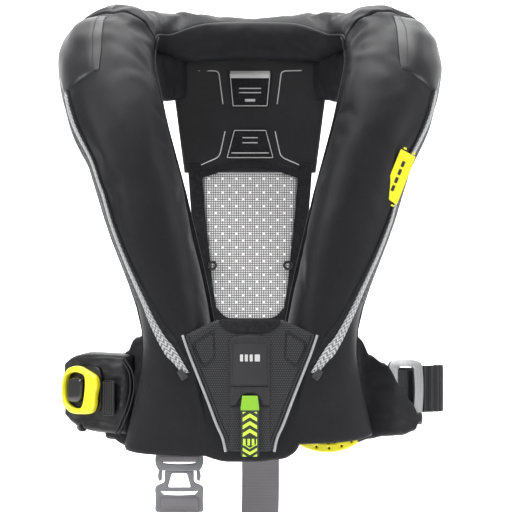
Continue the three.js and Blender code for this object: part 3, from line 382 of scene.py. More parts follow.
def inflate(obj, cap, pressure=4.0, grow=0.02, frames=20, pins=None):
    """Blows a closed cloth shell up, keeps each point within the cap, and leaves a plain mesh."""
    start = [v.co.copy() for v in obj.data.vertices]
    cloth = obj.modifiers.new("cloth", "CLOTH")
    settings = cloth.settings
    settings.quality = 5
    settings.mass = 0.25
    settings.use_pressure = True
    settings.uniform_pressure_force = pressure
    settings.tension_stiffness = 12
    settings.compression_stiffness = 12
    settings.shear_stiffness = 4
    settings.bending_stiffness = 0.4
    settings.shrink_min = -grow
    settings.effector_weights.gravity = 0
    if pins:
        group = obj.vertex_groups.new(name="pinned")
        group.add(pins, 1.0, "REPLACE")
        settings.vertex_group_mass = "pinned"
    cloth.point_cache.frame_start = 1
    cloth.point_cache.frame_end = frames
    for number in range(1, frames + 1):
        bpy.context.scene.frame_set(number)
    shaped = obj.evaluated_get(bpy.context.evaluated_depsgraph_get()).to_mesh()
    for vertex, now, before in zip(obj.data.vertices, shaped.vertices, start):
        move = now.co - before
        if move.length > cap:
            move = move.normalized() * cap
        vertex.co = before + move
    obj.modifiers.clear()
    bpy.context.scene.frame_set(1)


def subdivide(obj, levels=1):
    smoother = obj.modifiers.new("smooth", "SUBSURF")
    smoother.levels = levels
    smoother.render_levels = levels
    bpy.context.view_layer.objects.active = obj
    bpy.ops.object.modifier_apply(modifier=smoother.name)


def surface_of(obj):
    return BVHTree.FromPolygons([v.co.copy() for v in obj.data.vertices],
                                [p.vertices for p in obj.data.polygons])


def row(start, end, steps):
    return [start + (end - start) * k / steps for k in range(steps + 1)]


# ---- Lobe covers --------------------------------------------------------------------------------
# The two chest lobes are sewn from black nylon over the folded bladder. They are closed at the
# hem, packed tight, and the cloth creases where it bends over the shoulder.
COVER_RINGS = 96
RIGHT_HEM_LIFT = 0.015
hem_share = {"left": 0.0, "right": share_at(-0.462 + RIGHT_HEM_LIFT)}
covers = {}
for side in ("left", "right"):
    shares = row(hem_share[side], SHOULDER_SHARE, COVER_RINGS)
    rings = [pad_ring(Place(share if side == "left" else 1 - share)) for share in shares]
    cover = skin(f"{side}_lobe_shell", rings, nylon)
    ends = [v.index for v in cover.data.vertices if v.index >= len(rings[0]) * (COVER_RINGS - 1)]
    inflate(cover, cap=0.005, pins=ends)
    subdivide(cover)
    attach(cover, "jacket")
    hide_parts(f"{side}_lobe_cover")
    covers[side] = surface_of(cover)

# ---- Collar -------------------------------------------------------------------------------------
# The roll goes on behind the neck as one sewn tube of the same nylon, with a softer filling.
collar_shares = row(SHOULDER_SHARE, 1 - SHOULDER_SHARE, 110)
collar = skin("collar_shell", [pad_ring(Place(share)) for share in collar_shares], nylon)
collar_count = DOME_POINTS + BACK_POINTS
collar_ends = [v.index for v in collar.data.vertices
               if v.index < collar_count or v.index >= collar_count * len(collar_shares) - collar_count]
inflate(collar, cap=0.005, pins=collar_ends)
subdivide(collar)
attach(collar, "jacket")
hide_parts("collar_cover")
covers["collar"] = surface_of(collar)

# ---- Collar pad -----------------------------------------------------------------------------------
# The body side of the collar is a soft nylon pad. It puffs forward behind the neck, and a stuffed
# roll turns down from it beside each lobe to the yoke.
nape_rings = []
for number, share in enumerate(row(SHOULDER_SHARE, 1 - SHOULDER_SHARE, 120)):
    spot = Place(share)
    near_nape = smooth_step(0.125 - abs(spot.at.x), 0.0, 0.07) * smooth_step(spot.at.y, 0.0, 0.05)
    raised = Vector((0, 0, 0.0075 * near_nape))
    front, behind = [], []
    for k in range(25):
        side = -0.97 + 1.94 * k / 24
        belly = (1 - abs(side) ** 3)
        point = spot.back(side, 0)
        fold = soft_noise(Vector((point.x * 0.55, point.y, point.z + abs(point.x) * 0.5)), 0.016, 4.4)
        puff = 0.0012 + belly * (0.0018 + near_nape * (0.0105 + 0.0030 * fold))
        front.append(spot.back(side, puff) + raised)
        behind.append(spot.back(side, -0.0022) + raised)
    nape_rings.append(front + behind[::-1])
nape_pad = skin("collar_pad", nape_rings, nylon)
subdivide(nape_pad)
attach(nape_pad, "jacket")
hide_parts("collar_lining")
for side, sign in (("left", -1), ("right", 1)):
    course = [Vector((sign * 0.132, 0.000, -0.022)), Vector((sign * 0.116, 0.030, -0.026)),
              Vector((sign * 0.098, 0.058, -0.027)),
              Vector((sign * 0.078, 0.079, -0.024))]
    roll_rings = []
    for number in range(41):
        t = number / 40
        middle = smooth_through(course, t)
        before, after = smooth_through(course, max(t - 0.01, 0)), smooth_through(course, min(t + 0.01, 1))
        ahead = (after - before).normalized()
        forward = Vector((0, 0, 1)).cross(ahead).normalized() * sign
        swell = 0.55 + 0.45 * math.sin(math.pi * t)
        ring = []
        for k in range(32):
            angle = math.tau * k / 32
            height = 0.0290 * math.copysign(abs(math.sin(angle)) ** 0.75, math.sin(angle))
            point = middle + Vector((0, 0, height)) + forward * (0.0120 * swell * math.cos(angle))
            slanted = Vector((point.x, point.y, point.z * 0.8 + point.x * sign * 0.9))
            crease = 0.0022 * soft_noise(slanted, 0.014, 6.2)
            ring.append(point + (point - middle).normalized() * crease)
        roll_rings.append(ring)
    side_roll = skin(f"{side}_collar_roll", roll_rings, nylon)
    subdivide(side_roll)
    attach(side_roll, "jacket")

# ---- Linings ------------------------------------------------------------------------------------
# Black lining cloth closes the roll on the body side. It is flat under the lobes.
for node in ("left_lobe_lining", "right_lobe_lining"):
    frame_node = bpy.data.objects[node]
    for held in frame_node.material_slots:
        held.material = lining_cloth

# ---- Shoulder caps ------------------------------------------------------------------------------
# A shinier coated patch is sewn over each shoulder where a harness rubs. Its edges are turned
# under and topstitched.


def on_cover(tree, spot, angle, lift):
    """A point lifted from the cover's real surface, out along the line from the roll's middle."""
    outside, inside = spot.dome(angle, 0.022), spot.dome(angle, -0.02)
    aim = (inside - outside).normalized()
    hit = tree.ray_cast(outside, aim, 0.045)[0]
    return (hit if hit else spot.dome(angle)) - aim * lift


def surface_uv(obj, values):
    layer = obj.data.uv_layers.new(name="cloth")
    for loop in obj.data.loops:
        layer.data[loop.index].uv = values[loop.vertex_index]


def patch(name, tree, shares, angle_from, angle_to, lift, wall, material, steps=10):
    """A sewn layer that follows the cover between two angles. Its two faces meet at turned edges."""
    rings, values = [], []
    for number, share in enumerate(shares):
        spot = Place(share)
        t = number / (len(shares) - 1)
        first, last = angle_from(t), angle_to(t)
        top, under = [], []
        for k in range(steps + 1):
            angle = first + (last - first) * k / steps
            base = on_cover(tree, spot, angle, lift)
            out = (base - on_cover(tree, spot, angle, lift - 0.004)).normalized()
            edge = 0.35 if k in (0, steps) or number in (0, len(shares) - 1) else 1.0
            top.append(base + out * wall * edge)
            under.append(base - out * 0.0002)
            values.append((k / steps, t))
        rings.append(top + under[::-1])
        values.extend([(k / steps, t) for k in range(steps, -1, -1)])
    obj = skin(name, rings, material)
    surface_uv(obj, values)
    return obj


def stitches(name, line, material, length=0.0032, gap=0.0018, thick=0.0007, proud=0.0003):
    """A row of thread stitches along a line of (point, outward) pairs."""
    points, faces = [], []
    spots = [Vector(p) for p, _ in line]
    ways = [0.0]
    for k in range(1, len(spots)):
        ways.append(ways[-1] + (spots[k] - spots[k - 1]).length)

    def at(way):
        k = 1
        while k < len(ways) - 1 and ways[k] < way:
            k += 1
        span = max(ways[k] - ways[k - 1], 1e-6)
        t = min(max((way - ways[k - 1]) / span, 0), 1)
        outward = Vector(line[k - 1][1]).lerp(Vector(line[k][1]), t).normalized()
        return spots[k - 1].lerp(spots[k], t), outward

    way = gap
    while way + length < ways[-1]:
        (p, n), (q, _) = at(way), at(way + length)
        side = (q - p).cross(n).normalized() * thick / 2
        lift, low = n * proud, n * -0.0004
        base = len(points)
        middle = (p + q) / 2 + n * proud * 1.8
        points.extend([p - side + low, p + side + low, q - side + low, q + side + low, middle - side,
                       middle + side])
        faces.extend([(base, base + 1, base + 5, base + 4), (base + 4, base + 5, base + 3, base + 2),
                      (base, base + 4, base + 2), (base + 1, base + 3, base + 5)])
        way += length + gap
    return mesh_object(name, points, faces, material)


black_thread = cloth_finish("black_thread", (0.03, 0.03, 0.034), 0.6, 1600, 0.0, 0.1, 0.2)
for side in ("left", "right"):
    tree = covers[side]
    shoulder = row(0.262, 0.404, 26)
    cap_shares = [share if side == "left" else 1 - share for share in shoulder]

    def cap_lift_tree(share):
        return tree if min(share, 1 - share) <= SHOULDER_SHARE else covers["collar"]

    rings = []
    for number, share in enumerate(cap_shares):
        spot = Place(share)
        t = number / (len(cap_shares) - 1)
        last = 1.78 - 0.25 * (1 - t) ** 2
        top, under = [], []
        for k in range(15):
            angle = 0.05 + (last - 0.05) * k / 14
            base = on_cover(cap_lift_tree(share), spot, angle, 0.0004)
            inner = on_cover(cap_lift_tree(share), spot, angle, -0.004)
            out = (base - inner).normalized()
            edge = 0.3 if k in (0, 14) or number in (0, len(cap_shares) - 1) else 1.0
            top.append(base + out * 0.0016 * edge)
            under.append(base - out * 0.0002)
        rings.append(top + under[::-1])
    cap = skin(f"{side}_shoulder_patch", rings, coated_nylon)
    subdivide(cap)
    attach(cap, "jacket")
    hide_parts(f"{side}_shoulder_cap")
    seam = [(ring[13] + (ring[13] - Place(cap_shares[n]).at).normalized() * 0.0002,
             ring[13] - Place(cap_shares[n]).at) for n, ring in enumerate(rings)]
    thread = stitches(f"{side}_shoulder_stitching", seam, black_thread)
    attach(thread, "jacket")

# ---- Burst zips -----------------------------------------------------------------------------------
# A zip runs down each lobe and bursts open when the bladder fills. Silver herringbone tape carries
# it, the teeth are black, and a steel slider is parked at its foot.
herringbone = bpy.data.materials.new("silver_herringbone")
herringbone.use_nodes = True
tape = herringbone.node_tree
tape_shader = tape.nodes["Principled BSDF"]
tape_uv = tape.nodes.new("ShaderNodeTexCoord").outputs["UV"]
tape_split = tape.nodes.new("ShaderNodeSeparateXYZ")
link(tape, tape_uv, tape_split.inputs[0])
lean = math_node(tape, "ABSOLUTE", math_node(tape, "SUBTRACT", math_node(
    tape, "FRACT", math_node(tape, "MULTIPLY", tape_split.outputs["X"], 2.0)), 0.5))
rib = math_node(tape, "SINE", math_node(tape, "MULTIPLY", math_node(
    tape, "ADD", math_node(tape, "MULTIPLY", tape_split.outputs["Y"], 165.0),
    math_node(tape, "MULTIPLY", lean, 1.6)),
    math.tau))
rib_mask = math_node(tape, "MULTIPLY", math_node(tape, "ADD", rib, 1.0), 0.5)
grain = tape.nodes.new("ShaderNodeTexNoise")
grain.inputs["Scale"].default_value = 900
tone = mix_colour(tape, rib_mask, (0.075, 0.075, 0.08), (0.50, 0.51, 0.53))
link(tape, mix_colour(tape, math_node(tape, "MULTIPLY", grain.outputs["Fac"], 0.25), tone, (0.2, 0.2, 0.2)),
     tape_shader.inputs["Base Color"])
tape_bump = tape.nodes.new("ShaderNodeBump")
tape_bump.inputs["Strength"].default_value = 0.5
tape_bump.inputs["Distance"].default_value = 0.0006
link(tape, rib_mask, tape_bump.inputs["Height"])
link(tape, tape_bump.outputs["Normal"], tape_shader.inputs["Normal"])
tape_shader.inputs["Roughness"].default_value = 0.45
tape_shader.inputs["Metallic"].default_value = 0.2

ZIP_FOOT_SHARE = share_at(-0.368)
ZIP_HEAD_SHARE = share_at(-0.02)
zip_angle = lambda t: 0.46 + 1.39 * math.exp(-3.4 * t)


def strip_on_cover(name, side, t_from, t_to, offset, width, lift, wall, material, steps=110):
    """A narrow tape beside the zip line, offset across the cover in metres."""
    rings, values, way, last_spot = [], [], 0.0, None
    for k in range(steps + 1):
        t = t_from + (t_to - t_from) * k / steps
        share = ZIP_FOOT_SHARE + (ZIP_HEAD_SHARE - ZIP_FOOT_SHARE) * t
        spot = Place(share if side == "left" else 1 - share)
        reach = spot.width / 2
        angle = zip_angle(t)
        edges = [angle + (offset - width / 2) / reach, angle + (offset + width / 2) / reach]
        pair = [on_cover(covers[side], spot, edge, lift) for edge in edges]
        middle = (pair[0] + pair[1]) / 2
        out = (middle - on_cover(covers[side], spot, sum(edges) / 2, lift - 0.004)).normalized()
        way += (middle - last_spot).length if last_spot else 0
        last_spot = middle
        rings.append([pair[0] - out * 0.0004, pair[0] + out * wall * 0.6, middle + out * wall,
                      pair[1] + out * wall * 0.6, pair[1] - out * 0.0004])
        values.extend([(0, way), (0, way), (0.5, way), (1, way), (1, way)])
    obj = skin(name, rings, material)
    surface_uv(obj, values)
    return obj


for side in ("left", "right"):
    tape_piece = strip_on_cover(f"{side}_zip_tape", side, 0, 1, -0.0008, 0.0086, 0.0009, 0.0012,
                                herringbone)
    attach(tape_piece, "jacket")
    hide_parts(f"{side}_burst_zip")
    guard = strip_on_cover(f"{side}_zip_guard", side, 0.02, 1, 0.0066, 0.0050, 0.0004, 0.0014, lining_cloth)
    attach(guard, "jacket")

# ---- Side gussets ---------------------------------------------------------------------------------
# Outside the zip is a light ripstop gusset. Its grey reinforcing threads cross in uneven squares.
ripstop = bpy.data.materials.new("ripstop")
ripstop.use_nodes = True
net = ripstop.node_tree
net_shader = net.nodes["Principled BSDF"]
net_split = net.nodes.new("ShaderNodeSeparateXYZ")
net_place = net.nodes.new("ShaderNodeTexCoord").outputs["Object"]
warp = net.nodes.new("ShaderNodeTexNoise")
warp.inputs["Scale"].default_value = 45
link(net, net_place, warp.inputs["Vector"])
link(net, net_place, net_split.inputs[0])
lines = []
for axes, pitch in ((("X", "Z"), 190.0), (("Z", "X"), 165.0)):
    sideways = math_node(net, "MULTIPLY", net_split.outputs[axes[1]], 0.35)
    lean = math_node(net, "ADD", net_split.outputs[axes[0]], sideways)
    shifted = math_node(net, "ADD", math_node(net, "MULTIPLY", lean, pitch),
                        math_node(net, "MULTIPLY", warp.outputs["Fac"], 0.5))
    near = math_node(net, "ABSOLUTE", math_node(net, "SUBTRACT", math_node(net, "FRACT", shifted), 0.5))
    lines.append(math_node(net, "GREATER_THAN", near, 0.455))
net_mask = math_node(net, "MAXIMUM", lines[0], lines[1])
fade = net.nodes.new("ShaderNodeTexNoise")
fade.inputs["Scale"].default_value = 130
link(net, net_place, fade.inputs["Vector"])
net_mask = math_node(net, "MULTIPLY", net_mask, math_node(net, "MULTIPLY", fade.outputs["Fac"], 1.3))
link(net, mix_colour(net, net_mask, (0.008, 0.008, 0.010), (0.15, 0.15, 0.16)),
     net_shader.inputs["Base Color"])
net_shader.inputs["Roughness"].default_value = 0.6
net_shader.inputs["Specular IOR Level"].default_value = 0.3

for side in ("left", "right"):
    low_share = share_at(-0.282)
    shares = row(low_share, ZIP_HEAD_SHARE, 44)
    zip_span = ZIP_HEAD_SHARE - ZIP_FOOT_SHARE
    in_zip = lambda t: (low_share + (ZIP_HEAD_SHARE - low_share) * t - ZIP_FOOT_SHARE) / zip_span
    gusset = patch(f"{side}_ripstop_gusset", covers[side], [s if side == "left" else 1 - s for s in shares],
                   lambda t: 0.05, lambda t: zip_angle(in_zip(t)) - 0.05, 0.0003, 0.0008, ripstop, 8)
    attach(gusset, "jacket")
    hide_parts(f"{side}_side_gusset")

# ---- Back yoke ------------------------------------------------------------------------------------
# A firm panel behind the neck joins the two halves. White printed corners frame the two sewn
# badges, whose marks are plain bars.
BACK_TOP_Z = -0.015
BELT_HEIGHT = -0.391


def back_face(x, z):
    """The front of the back panels: it leans away from the neck and curves round the back."""
    t = min(max((BACK_TOP_Z - z) / (BACK_TOP_Z - BELT_HEIGHT), -0.2), 1)
    return 0.084 + 0.032 * t - 0.9 * x * x


def panel(name, outline_half, z_top, z_foot, wall, material, soft=0.0, columns=40, rows=40, lift=0.0):
    """A curved back panel from its half width at each height, closed by turned edges."""
    rings = []
    for r in range(rows + 1):
        z = z_top + (z_foot - z_top) * r / rows
        half = outline_half(z)
        front, back = [], []
        for c in range(columns + 1):
            side = -1 + 2 * c / columns
            x = half * side
            y = back_face(x, z) - lift
            swell = soft * (1 - abs(side) ** 6) * (1 - abs(2 * r / rows - 1) ** 8)
            dip = 0.0010 * soft_noise((x, 0, z), 0.03, 2.2) if soft else 0
            front.append(Vector((x, y - swell + dip, z)))
            back.append(Vector((x, y + wall, z)))
        rings.append(front + back[::-1])
    return skin(name, rings, material)


yoke_half = lambda z: 0.0935 - 0.016 * (BACK_TOP_Z - z) / 0.124
yoke = panel("yoke_panel", yoke_half, 0.006, -0.139, 0.0085, coated_nylon, 0.0012)
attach(yoke, "jacket")
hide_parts("back_yoke")

white_print = cloth_finish("white_print", (0.62, 0.62, 0.62), 0.6, 1100, 0.0, 0.0, 0.1)


def printed_line(name, corners, width, lift=0.0004, depth=0.0011):
    """A thin printed line on the back panels through (x, z) points."""
    fine = []
    for (x0, z0), (x1, z1) in zip(corners, corners[1:]):
        count = max(int(math.dist((x0, z0), (x1, z1)) / 0.002), 1)
        fine.extend([(x0 + (x1 - x0) * k / count, z0 + (z1 - z0) * k / count) for k in range(count)])
    fine.append(corners[-1])
    rings = []
    for k, (x, z) in enumerate(fine):
        before, after = fine[max(k - 1, 0)], fine[min(k + 1, len(fine) - 1)]
        way = Vector((after[0] - before[0], 0, after[1] - before[1])).normalized()
        across = Vector((way.z, 0, -way.x)) * width / 2
        at = Vector((x, back_face(x, z) - depth - lift, z))
        rings.append([at - across, at + across, at + across + Vector((0, 0.0006, 0)),
                      at - across + Vector((0, 0.0006, 0))])
    obj = skin(name, rings, white_print)
    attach(obj, "jacket")
    return obj


def rounded_corner(corner, before, after, radius, steps=5):
    b, c, a = Vector(before), Vector(corner), Vector(after)
    start, end = c + (b - c).normalized() * radius, c + (a - c).normalized() * radius
    return [tuple((1 - t) ** 2 * start + 2 * t * (1 - t) * c + t * t * end)
            for t in (k / steps for k in range(steps + 1))]


for name, sign in (("left", -1), ("right", 1)):
    top = [(sign * 0.061, -0.0185), *rounded_corner((sign * 0.037, -0.019), (sign * 0.061, -0.0185),
                                                    (sign * 0.032, -0.057), 0.005),
           (sign * 0.032, -0.058)]
    printed_line(f"{name}_upper_corner_line", top, 0.0012)
    low = [(sign * 0.0295, -0.090), *rounded_corner((sign * 0.036, -0.120), (sign * 0.0295, -0.090),
                                                    (sign * 0.067, -0.134), 0.006),
           (sign * 0.067, -0.1335)]
    printed_line(f"{name}_lower_corner_line", low, 0.0012)


def badge(name, node, z, top_half, foot_half, height):
    """A sewn badge's cloth panel. Its border and plain bars are printed lines drawn after it."""
    half_at = lambda h: foot_half + (top_half - foot_half) * (h - (z - height / 2)) / height
    piece = panel(name, half_at, z + height / 2, z - height / 2, 0.0016, lining_cloth, 0.0, 24, 12, 0.0028)
    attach(piece, "jacket")
    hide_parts(node)


badge("upper_badge", "upper_yoke_badge", -0.041, 0.0255, 0.0215, 0.042)
badge("lower_badge", "lower_yoke_badge", -0.105, 0.0200, 0.0290, 0.036)
printed_line("upper_badge_band", [(-0.0235, -0.0232), (0.0235, -0.0232)], 0.0085, depth=0.003)
for number, (width, z, thick) in enumerate([(0.026, -0.0395, 0.0012), (0.026, -0.0445, 0.0012),
                                            (0.012, -0.0535, 0.0030)]):
    printed_line(f"upper_badge_bar_{number}", [(-width / 2, z), (width / 2, z)], thick, depth=0.003)
for number, (width, z, thick) in enumerate([(0.018, -0.0975, 0.0012), (0.018, -0.1035, 0.0012),
                                            (0.044, -0.1155, 0.0012)]):
    printed_line(f"lower_badge_bar_{number}", [(-width / 2, z), (width / 2, z)], thick, depth=0.003)
for number, (half, z0, z1, low_half) in enumerate([(0.0235, -0.0225, -0.0600, 0.0200),
                                                   (0.0185, -0.0890, -0.1210, 0.0270)]):
    frame_line = [(-half, z0), (half, z0), (low_half, z1), (-low_half, z1), (-half, z0)]
    printed_line(f"badge_border_{number}", frame_line, 0.0009, depth=0.003)

# ---- Back mesh ------------------------------------------------------------------------------------
# An open mesh of pale monofilament lets air and water through. Its threads make small squares,
# with a knot in rows of every few squares.
mesh_cloth = bpy.data.materials.new("pale_mesh")
mesh_cloth.use_nodes = True
open_net = mesh_cloth.node_tree
open_shader = open_net.nodes["Principled BSDF"]
open_split = open_net.nodes.new("ShaderNodeSeparateXYZ")
link(open_net, open_net.nodes.new("ShaderNodeTexCoord").outputs["Object"], open_split.inputs[0])


def centred(tree, value, pitch, offset=0.0):
    turns = math_node(tree, "ADD", math_node(tree, "MULTIPLY", value, 1 / pitch), offset)
    return math_node(tree, "ABSOLUTE", math_node(tree, "SUBTRACT", math_node(tree, "FRACT", turns), 0.5))


CELL = 0.0027
holes = math_node(open_net, "MULTIPLY",
                  math_node(open_net, "LESS_THAN", centred(open_net, open_split.outputs["X"], CELL), 0.34),
                  math_node(open_net, "LESS_THAN", centred(open_net, open_split.outputs["Z"], CELL), 0.34))
knots = math_node(open_net, "MULTIPLY",
                  math_node(open_net, "LESS_THAN", centred(open_net, open_split.outputs["X"], CELL * 6),
                            0.085),
                  math_node(open_net, "LESS_THAN", centred(open_net, open_split.outputs["Z"], CELL * 6),
                            0.085))
between = math_node(open_net, "MULTIPLY",
                    math_node(open_net, "LESS_THAN", centred(open_net, open_split.outputs["X"], CELL * 6,
                            0.5), 0.085),
                    math_node(open_net, "LESS_THAN", centred(open_net, open_split.outputs["Z"], CELL * 6,
                            0.5), 0.085))
knots = math_node(open_net, "MAXIMUM", knots, between)
thread_tone = mix_colour(open_net, holes, (0.09, 0.09, 0.095), (0.70, 0.70, 0.70))
link(open_net, mix_colour(open_net, knots, thread_tone, (0.86, 0.86, 0.86)),
     open_shader.inputs["Base Color"])
open_bump = open_net.nodes.new("ShaderNodeBump")
open_bump.inputs["Strength"].default_value = 0.6
open_bump.inputs["Distance"].default_value = 0.0005
link(open_net, math_node(open_net, "SUBTRACT", 1.0, holes), open_bump.inputs["Height"])
link(open_net, open_bump.outputs["Normal"], open_shader.inputs["Normal"])
open_shader.inputs["Roughness"].default_value = 0.7

mesh_half = lambda z: 0.057 - 0.017 * (-0.1393 - z) / 0.2284
mesh_panel = panel("mesh_panel", mesh_half, -0.1393, -0.3677, 0.0012, mesh_cloth, 0.0, 24, 60, -0.001)
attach(mesh_panel, "jacket")
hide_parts("back_mesh")

# ---- Mesh bindings and bungee eyelets -----------------------------------------------------------
# Black binding tape edges the mesh and arches over its top and foot. An elastic cord passes a ring
# on each side.
inner_edge = [(0.058, -0.128), (0.0565, -0.150), (0.0525, -0.200), (0.0485, -0.236), (0.0445, -0.275),
              (0.038, -0.293), (0.029, -0.306)]


def binding_tape(name, line, width, wall=0.0035):
    """A flat rolled tape on the back panels, along (x, z) points."""
    rings = []
    fine = [smooth_through([Vector((x, 0, z)) for x, z in line], k / 60) for k in range(61)]
    for k, p in enumerate(fine):
        way = (fine[min(k + 1, 60)] - fine[max(k - 1, 0)]).normalized()
        across = Vector((way.z, 0, -way.x))
        ring = []
        for turn in range(10):
            angle = math.tau * turn / 10
            spot = p + across * (width / 2) * math.copysign(abs(math.cos(angle)) ** 0.5, math.cos(angle))
            bulge = math.copysign(abs(math.sin(angle)) ** 0.6, math.sin(angle))
            y = back_face(spot.x, spot.z) + wall / 2 * bulge - 0.0004
            ring.append(Vector((spot.x, y, spot.z)))
        rings.append(ring)
    return skin(name, rings, lining_cloth)


for side, sign in (("left", -1), ("right", 1)):
    tape_line = [(sign * (x + 0.0075), z) for x, z in inner_edge[:5]]
    tape_line += [(sign * 0.043, -0.330), (sign * 0.041, -0.366)]
    edge_tape = binding_tape(f"{side}_binding", tape_line, 0.0165)
    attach(edge_tape, "jacket")
    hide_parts(f"{side}_mesh_binding")
arch = binding_tape("mesh_top_binding", [(-0.060, -0.141), (-0.030, -0.132), (0.0, -0.129), (0.030, -0.132),
                                         (0.060, -0.141)], 0.010)
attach(arch, "jacket")
foot_arch = binding_tape("mesh_foot_binding", [(-0.048, -0.300), (-0.032, -0.3155), (0.0, -0.3185),
                                               (0.032, -0.3155), (0.048, -0.300)], 0.015)
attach(foot_arch, "jacket")
below = panel("mesh_foot_panel", lambda z: 0.041, -0.320, -0.3665, 0.0030, lining_cloth, 0.0, 20, 8, 0.001)
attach(below, "jacket")


def round_tube(name, line, radius, material, closed=False, sides=10):
    """A round tube along a line of points."""
    rings, count = [], len(line)
    for k, p in enumerate(line):
        before = line[(k - 1) % count] if closed else line[max(k - 1, 0)]
        after = line[(k + 1) % count] if closed else line[min(k + 1, count - 1)]
        way = (Vector(after) - Vector(before)).normalized()
        first = way.cross(Vector((0.13, 0.31, 0.94))).normalized()
        second = way.cross(first)
        rings.append([Vector(p) + first * radius * math.cos(math.tau * s / sides)
                      + second * radius * math.sin(math.tau * s / sides) for s in range(sides)])
    if closed:
        rings.append(rings[0])
        obj = skin(name, rings, material, caps=False)
        work = bmesh.new()
        work.from_mesh(obj.data)
        bmesh.ops.remove_doubles(work, verts=work.verts, dist=1e-6)
        work.to_mesh(obj.data)
        work.free()
        return obj
    return skin(name, rings, material)


def moulded(name, colour, roughness, speckle=0.03, coat=0.0):
    """Moulded plastic with a fine spark texture and slightly paler rubbed patches."""
    material = bpy.data.materials.new(name)
    material.use_nodes = True
    tree = material.node_tree
    shader = tree.nodes["Principled BSDF"]
    fine = tree.nodes.new("ShaderNodeTexNoise")
    fine.inputs["Scale"].default_value = 1400
    broad = tree.nodes.new("ShaderNodeTexNoise")
    broad.inputs["Scale"].default_value = 60
    broad.inputs["Detail"].default_value = 4
    place = tree.nodes.new("ShaderNodeTexCoord").outputs["Object"]
    link(tree, place, fine.inputs["Vector"])
    link(tree, place, broad.inputs["Vector"])
    paler = tuple(min(c * 1.35 + speckle, 1) for c in colour)
    link(tree, mix_colour(tree, math_node(tree, "MULTIPLY", broad.outputs["Fac"], 0.6), colour, paler),
         shader.inputs["Base Color"])
    rough = math_node(tree, "ADD", math_node(tree, "MULTIPLY", broad.outputs["Fac"], 0.2), roughness - 0.1)
    link(tree, rough, shader.inputs["Roughness"])
    relief = tree.nodes.new("ShaderNodeBump")
    relief.inputs["Strength"].default_value = 0.12
    relief.inputs["Distance"].default_value = 0.0002
    link(tree, fine.outputs["Fac"], relief.inputs["Height"])
    link(tree, relief.outputs["Normal"], shader.inputs["Normal"])
    shader.inputs["Coat Weight"].default_value = coat
    return material


black_plastic = moulded("black_plastic", (0.004, 0.004, 0.005), 0.30, 0.003)
for side, sign in (("left", -1), ("right", 1)):
    x, z = sign * 0.0445, -0.248
    centre = Vector((x, back_face(x, z) - 0.004, z))
    circle = [centre + Vector((math.cos(a) * 0.0042, 0, math.sin(a) * 0.0042))
              for a in (math.tau * k / 28 for k in range(28))]
    eyelet = round_tube(f"{side}_eyelet_ring", circle, 0.0016, black_plastic, closed=True)
    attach(eyelet, "jacket")
    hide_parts(f"{side}_bungee_eyelet")

# ---- Chest panel ----------------------------------------------------------------------------------
# A stiff grip panel bridges both lobes and carries the release. It is a dotted dark knit with
# four stitched lozenges, edged by silver piping.
CHEST_ORIGIN = Vector((0, -0.1680, -0.3101))
CHEST_UP = Vector((0, -0.1101, 0.9939))
CHEST_OUT = Vector((0, -0.9939, -0.1101))


def on_chest(x, y, z=0.0):
    """A point on the chest plane: x across, y up from its top edge and z out of it."""
    return CHEST_ORIGIN + Vector((x, 0, 0)) + CHEST_UP * y + CHEST_OUT * z


def rounded_outline(corners, radius, steps=5):
    """A closed outline with every corner turned, or with a radius for each corner."""
    outline, count = [], len(corners)
    for k, corner in enumerate(corners):
        r = radius[k] if isinstance(radius, (list, tuple)) else radius
        before, after = corners[k - 1], corners[(k + 1) % count]
        r = min(r, math.dist(corner, before) * 0.49, math.dist(corner, after) * 0.49)
        outline.extend(rounded_corner(corner, before, after, r, steps) if r > 0 else [corner])
    return outline


def cut_plate(name, outlines, low, high, edge, place, material, resolution=2):
    """A flat plate with holes and rounded edges: the first outline is its rim and the rest are holes."""
    curve = bpy.data.curves.new(name, "CURVE")
    curve.dimensions = "2D"
    curve.fill_mode = "BOTH"
    half = (high - low) / 2
    edge = min(edge, half * 0.98)
    curve.extrude = half - edge
    curve.bevel_depth = edge
    curve.bevel_resolution = resolution
    curve.offset = -edge
    for outline in outlines:
        spline = curve.splines.new("POLY")
        spline.points.add(len(outline) - 1)
        for point, (x, y) in zip(spline.points, outline):
            point.co = (x, y, 0, 1)
        spline.use_cyclic_u = True
    holder = bpy.data.objects.new(name + "_outline", curve)
    bpy.context.collection.objects.link(holder)
    bpy.context.view_layer.update()
    mesh = bpy.data.meshes.new_from_object(holder)
    bpy.data.objects.remove(holder)
    middle = (low + high) / 2
    for vertex in mesh.vertices:
        vertex.co = place(vertex.co.x, vertex.co.y, vertex.co.z + middle)
    mesh.name = name
    mesh.materials.clear()
    mesh.materials.append(material)
    obj = bpy.data.objects.new(name, mesh)
    bpy.context.collection.objects.link(obj)
    work = bmesh.new()
    work.from_mesh(mesh)
    bmesh.ops.remove_doubles(work, verts=work.verts, dist=1e-6)
    bmesh.ops.recalc_face_normals(work, faces=work.faces)
    work.to_mesh(mesh)
    work.free()
    mesh.shade_smooth()
    mesh.set_sharp_from_angle(angle=math.radians(38))
    return obj


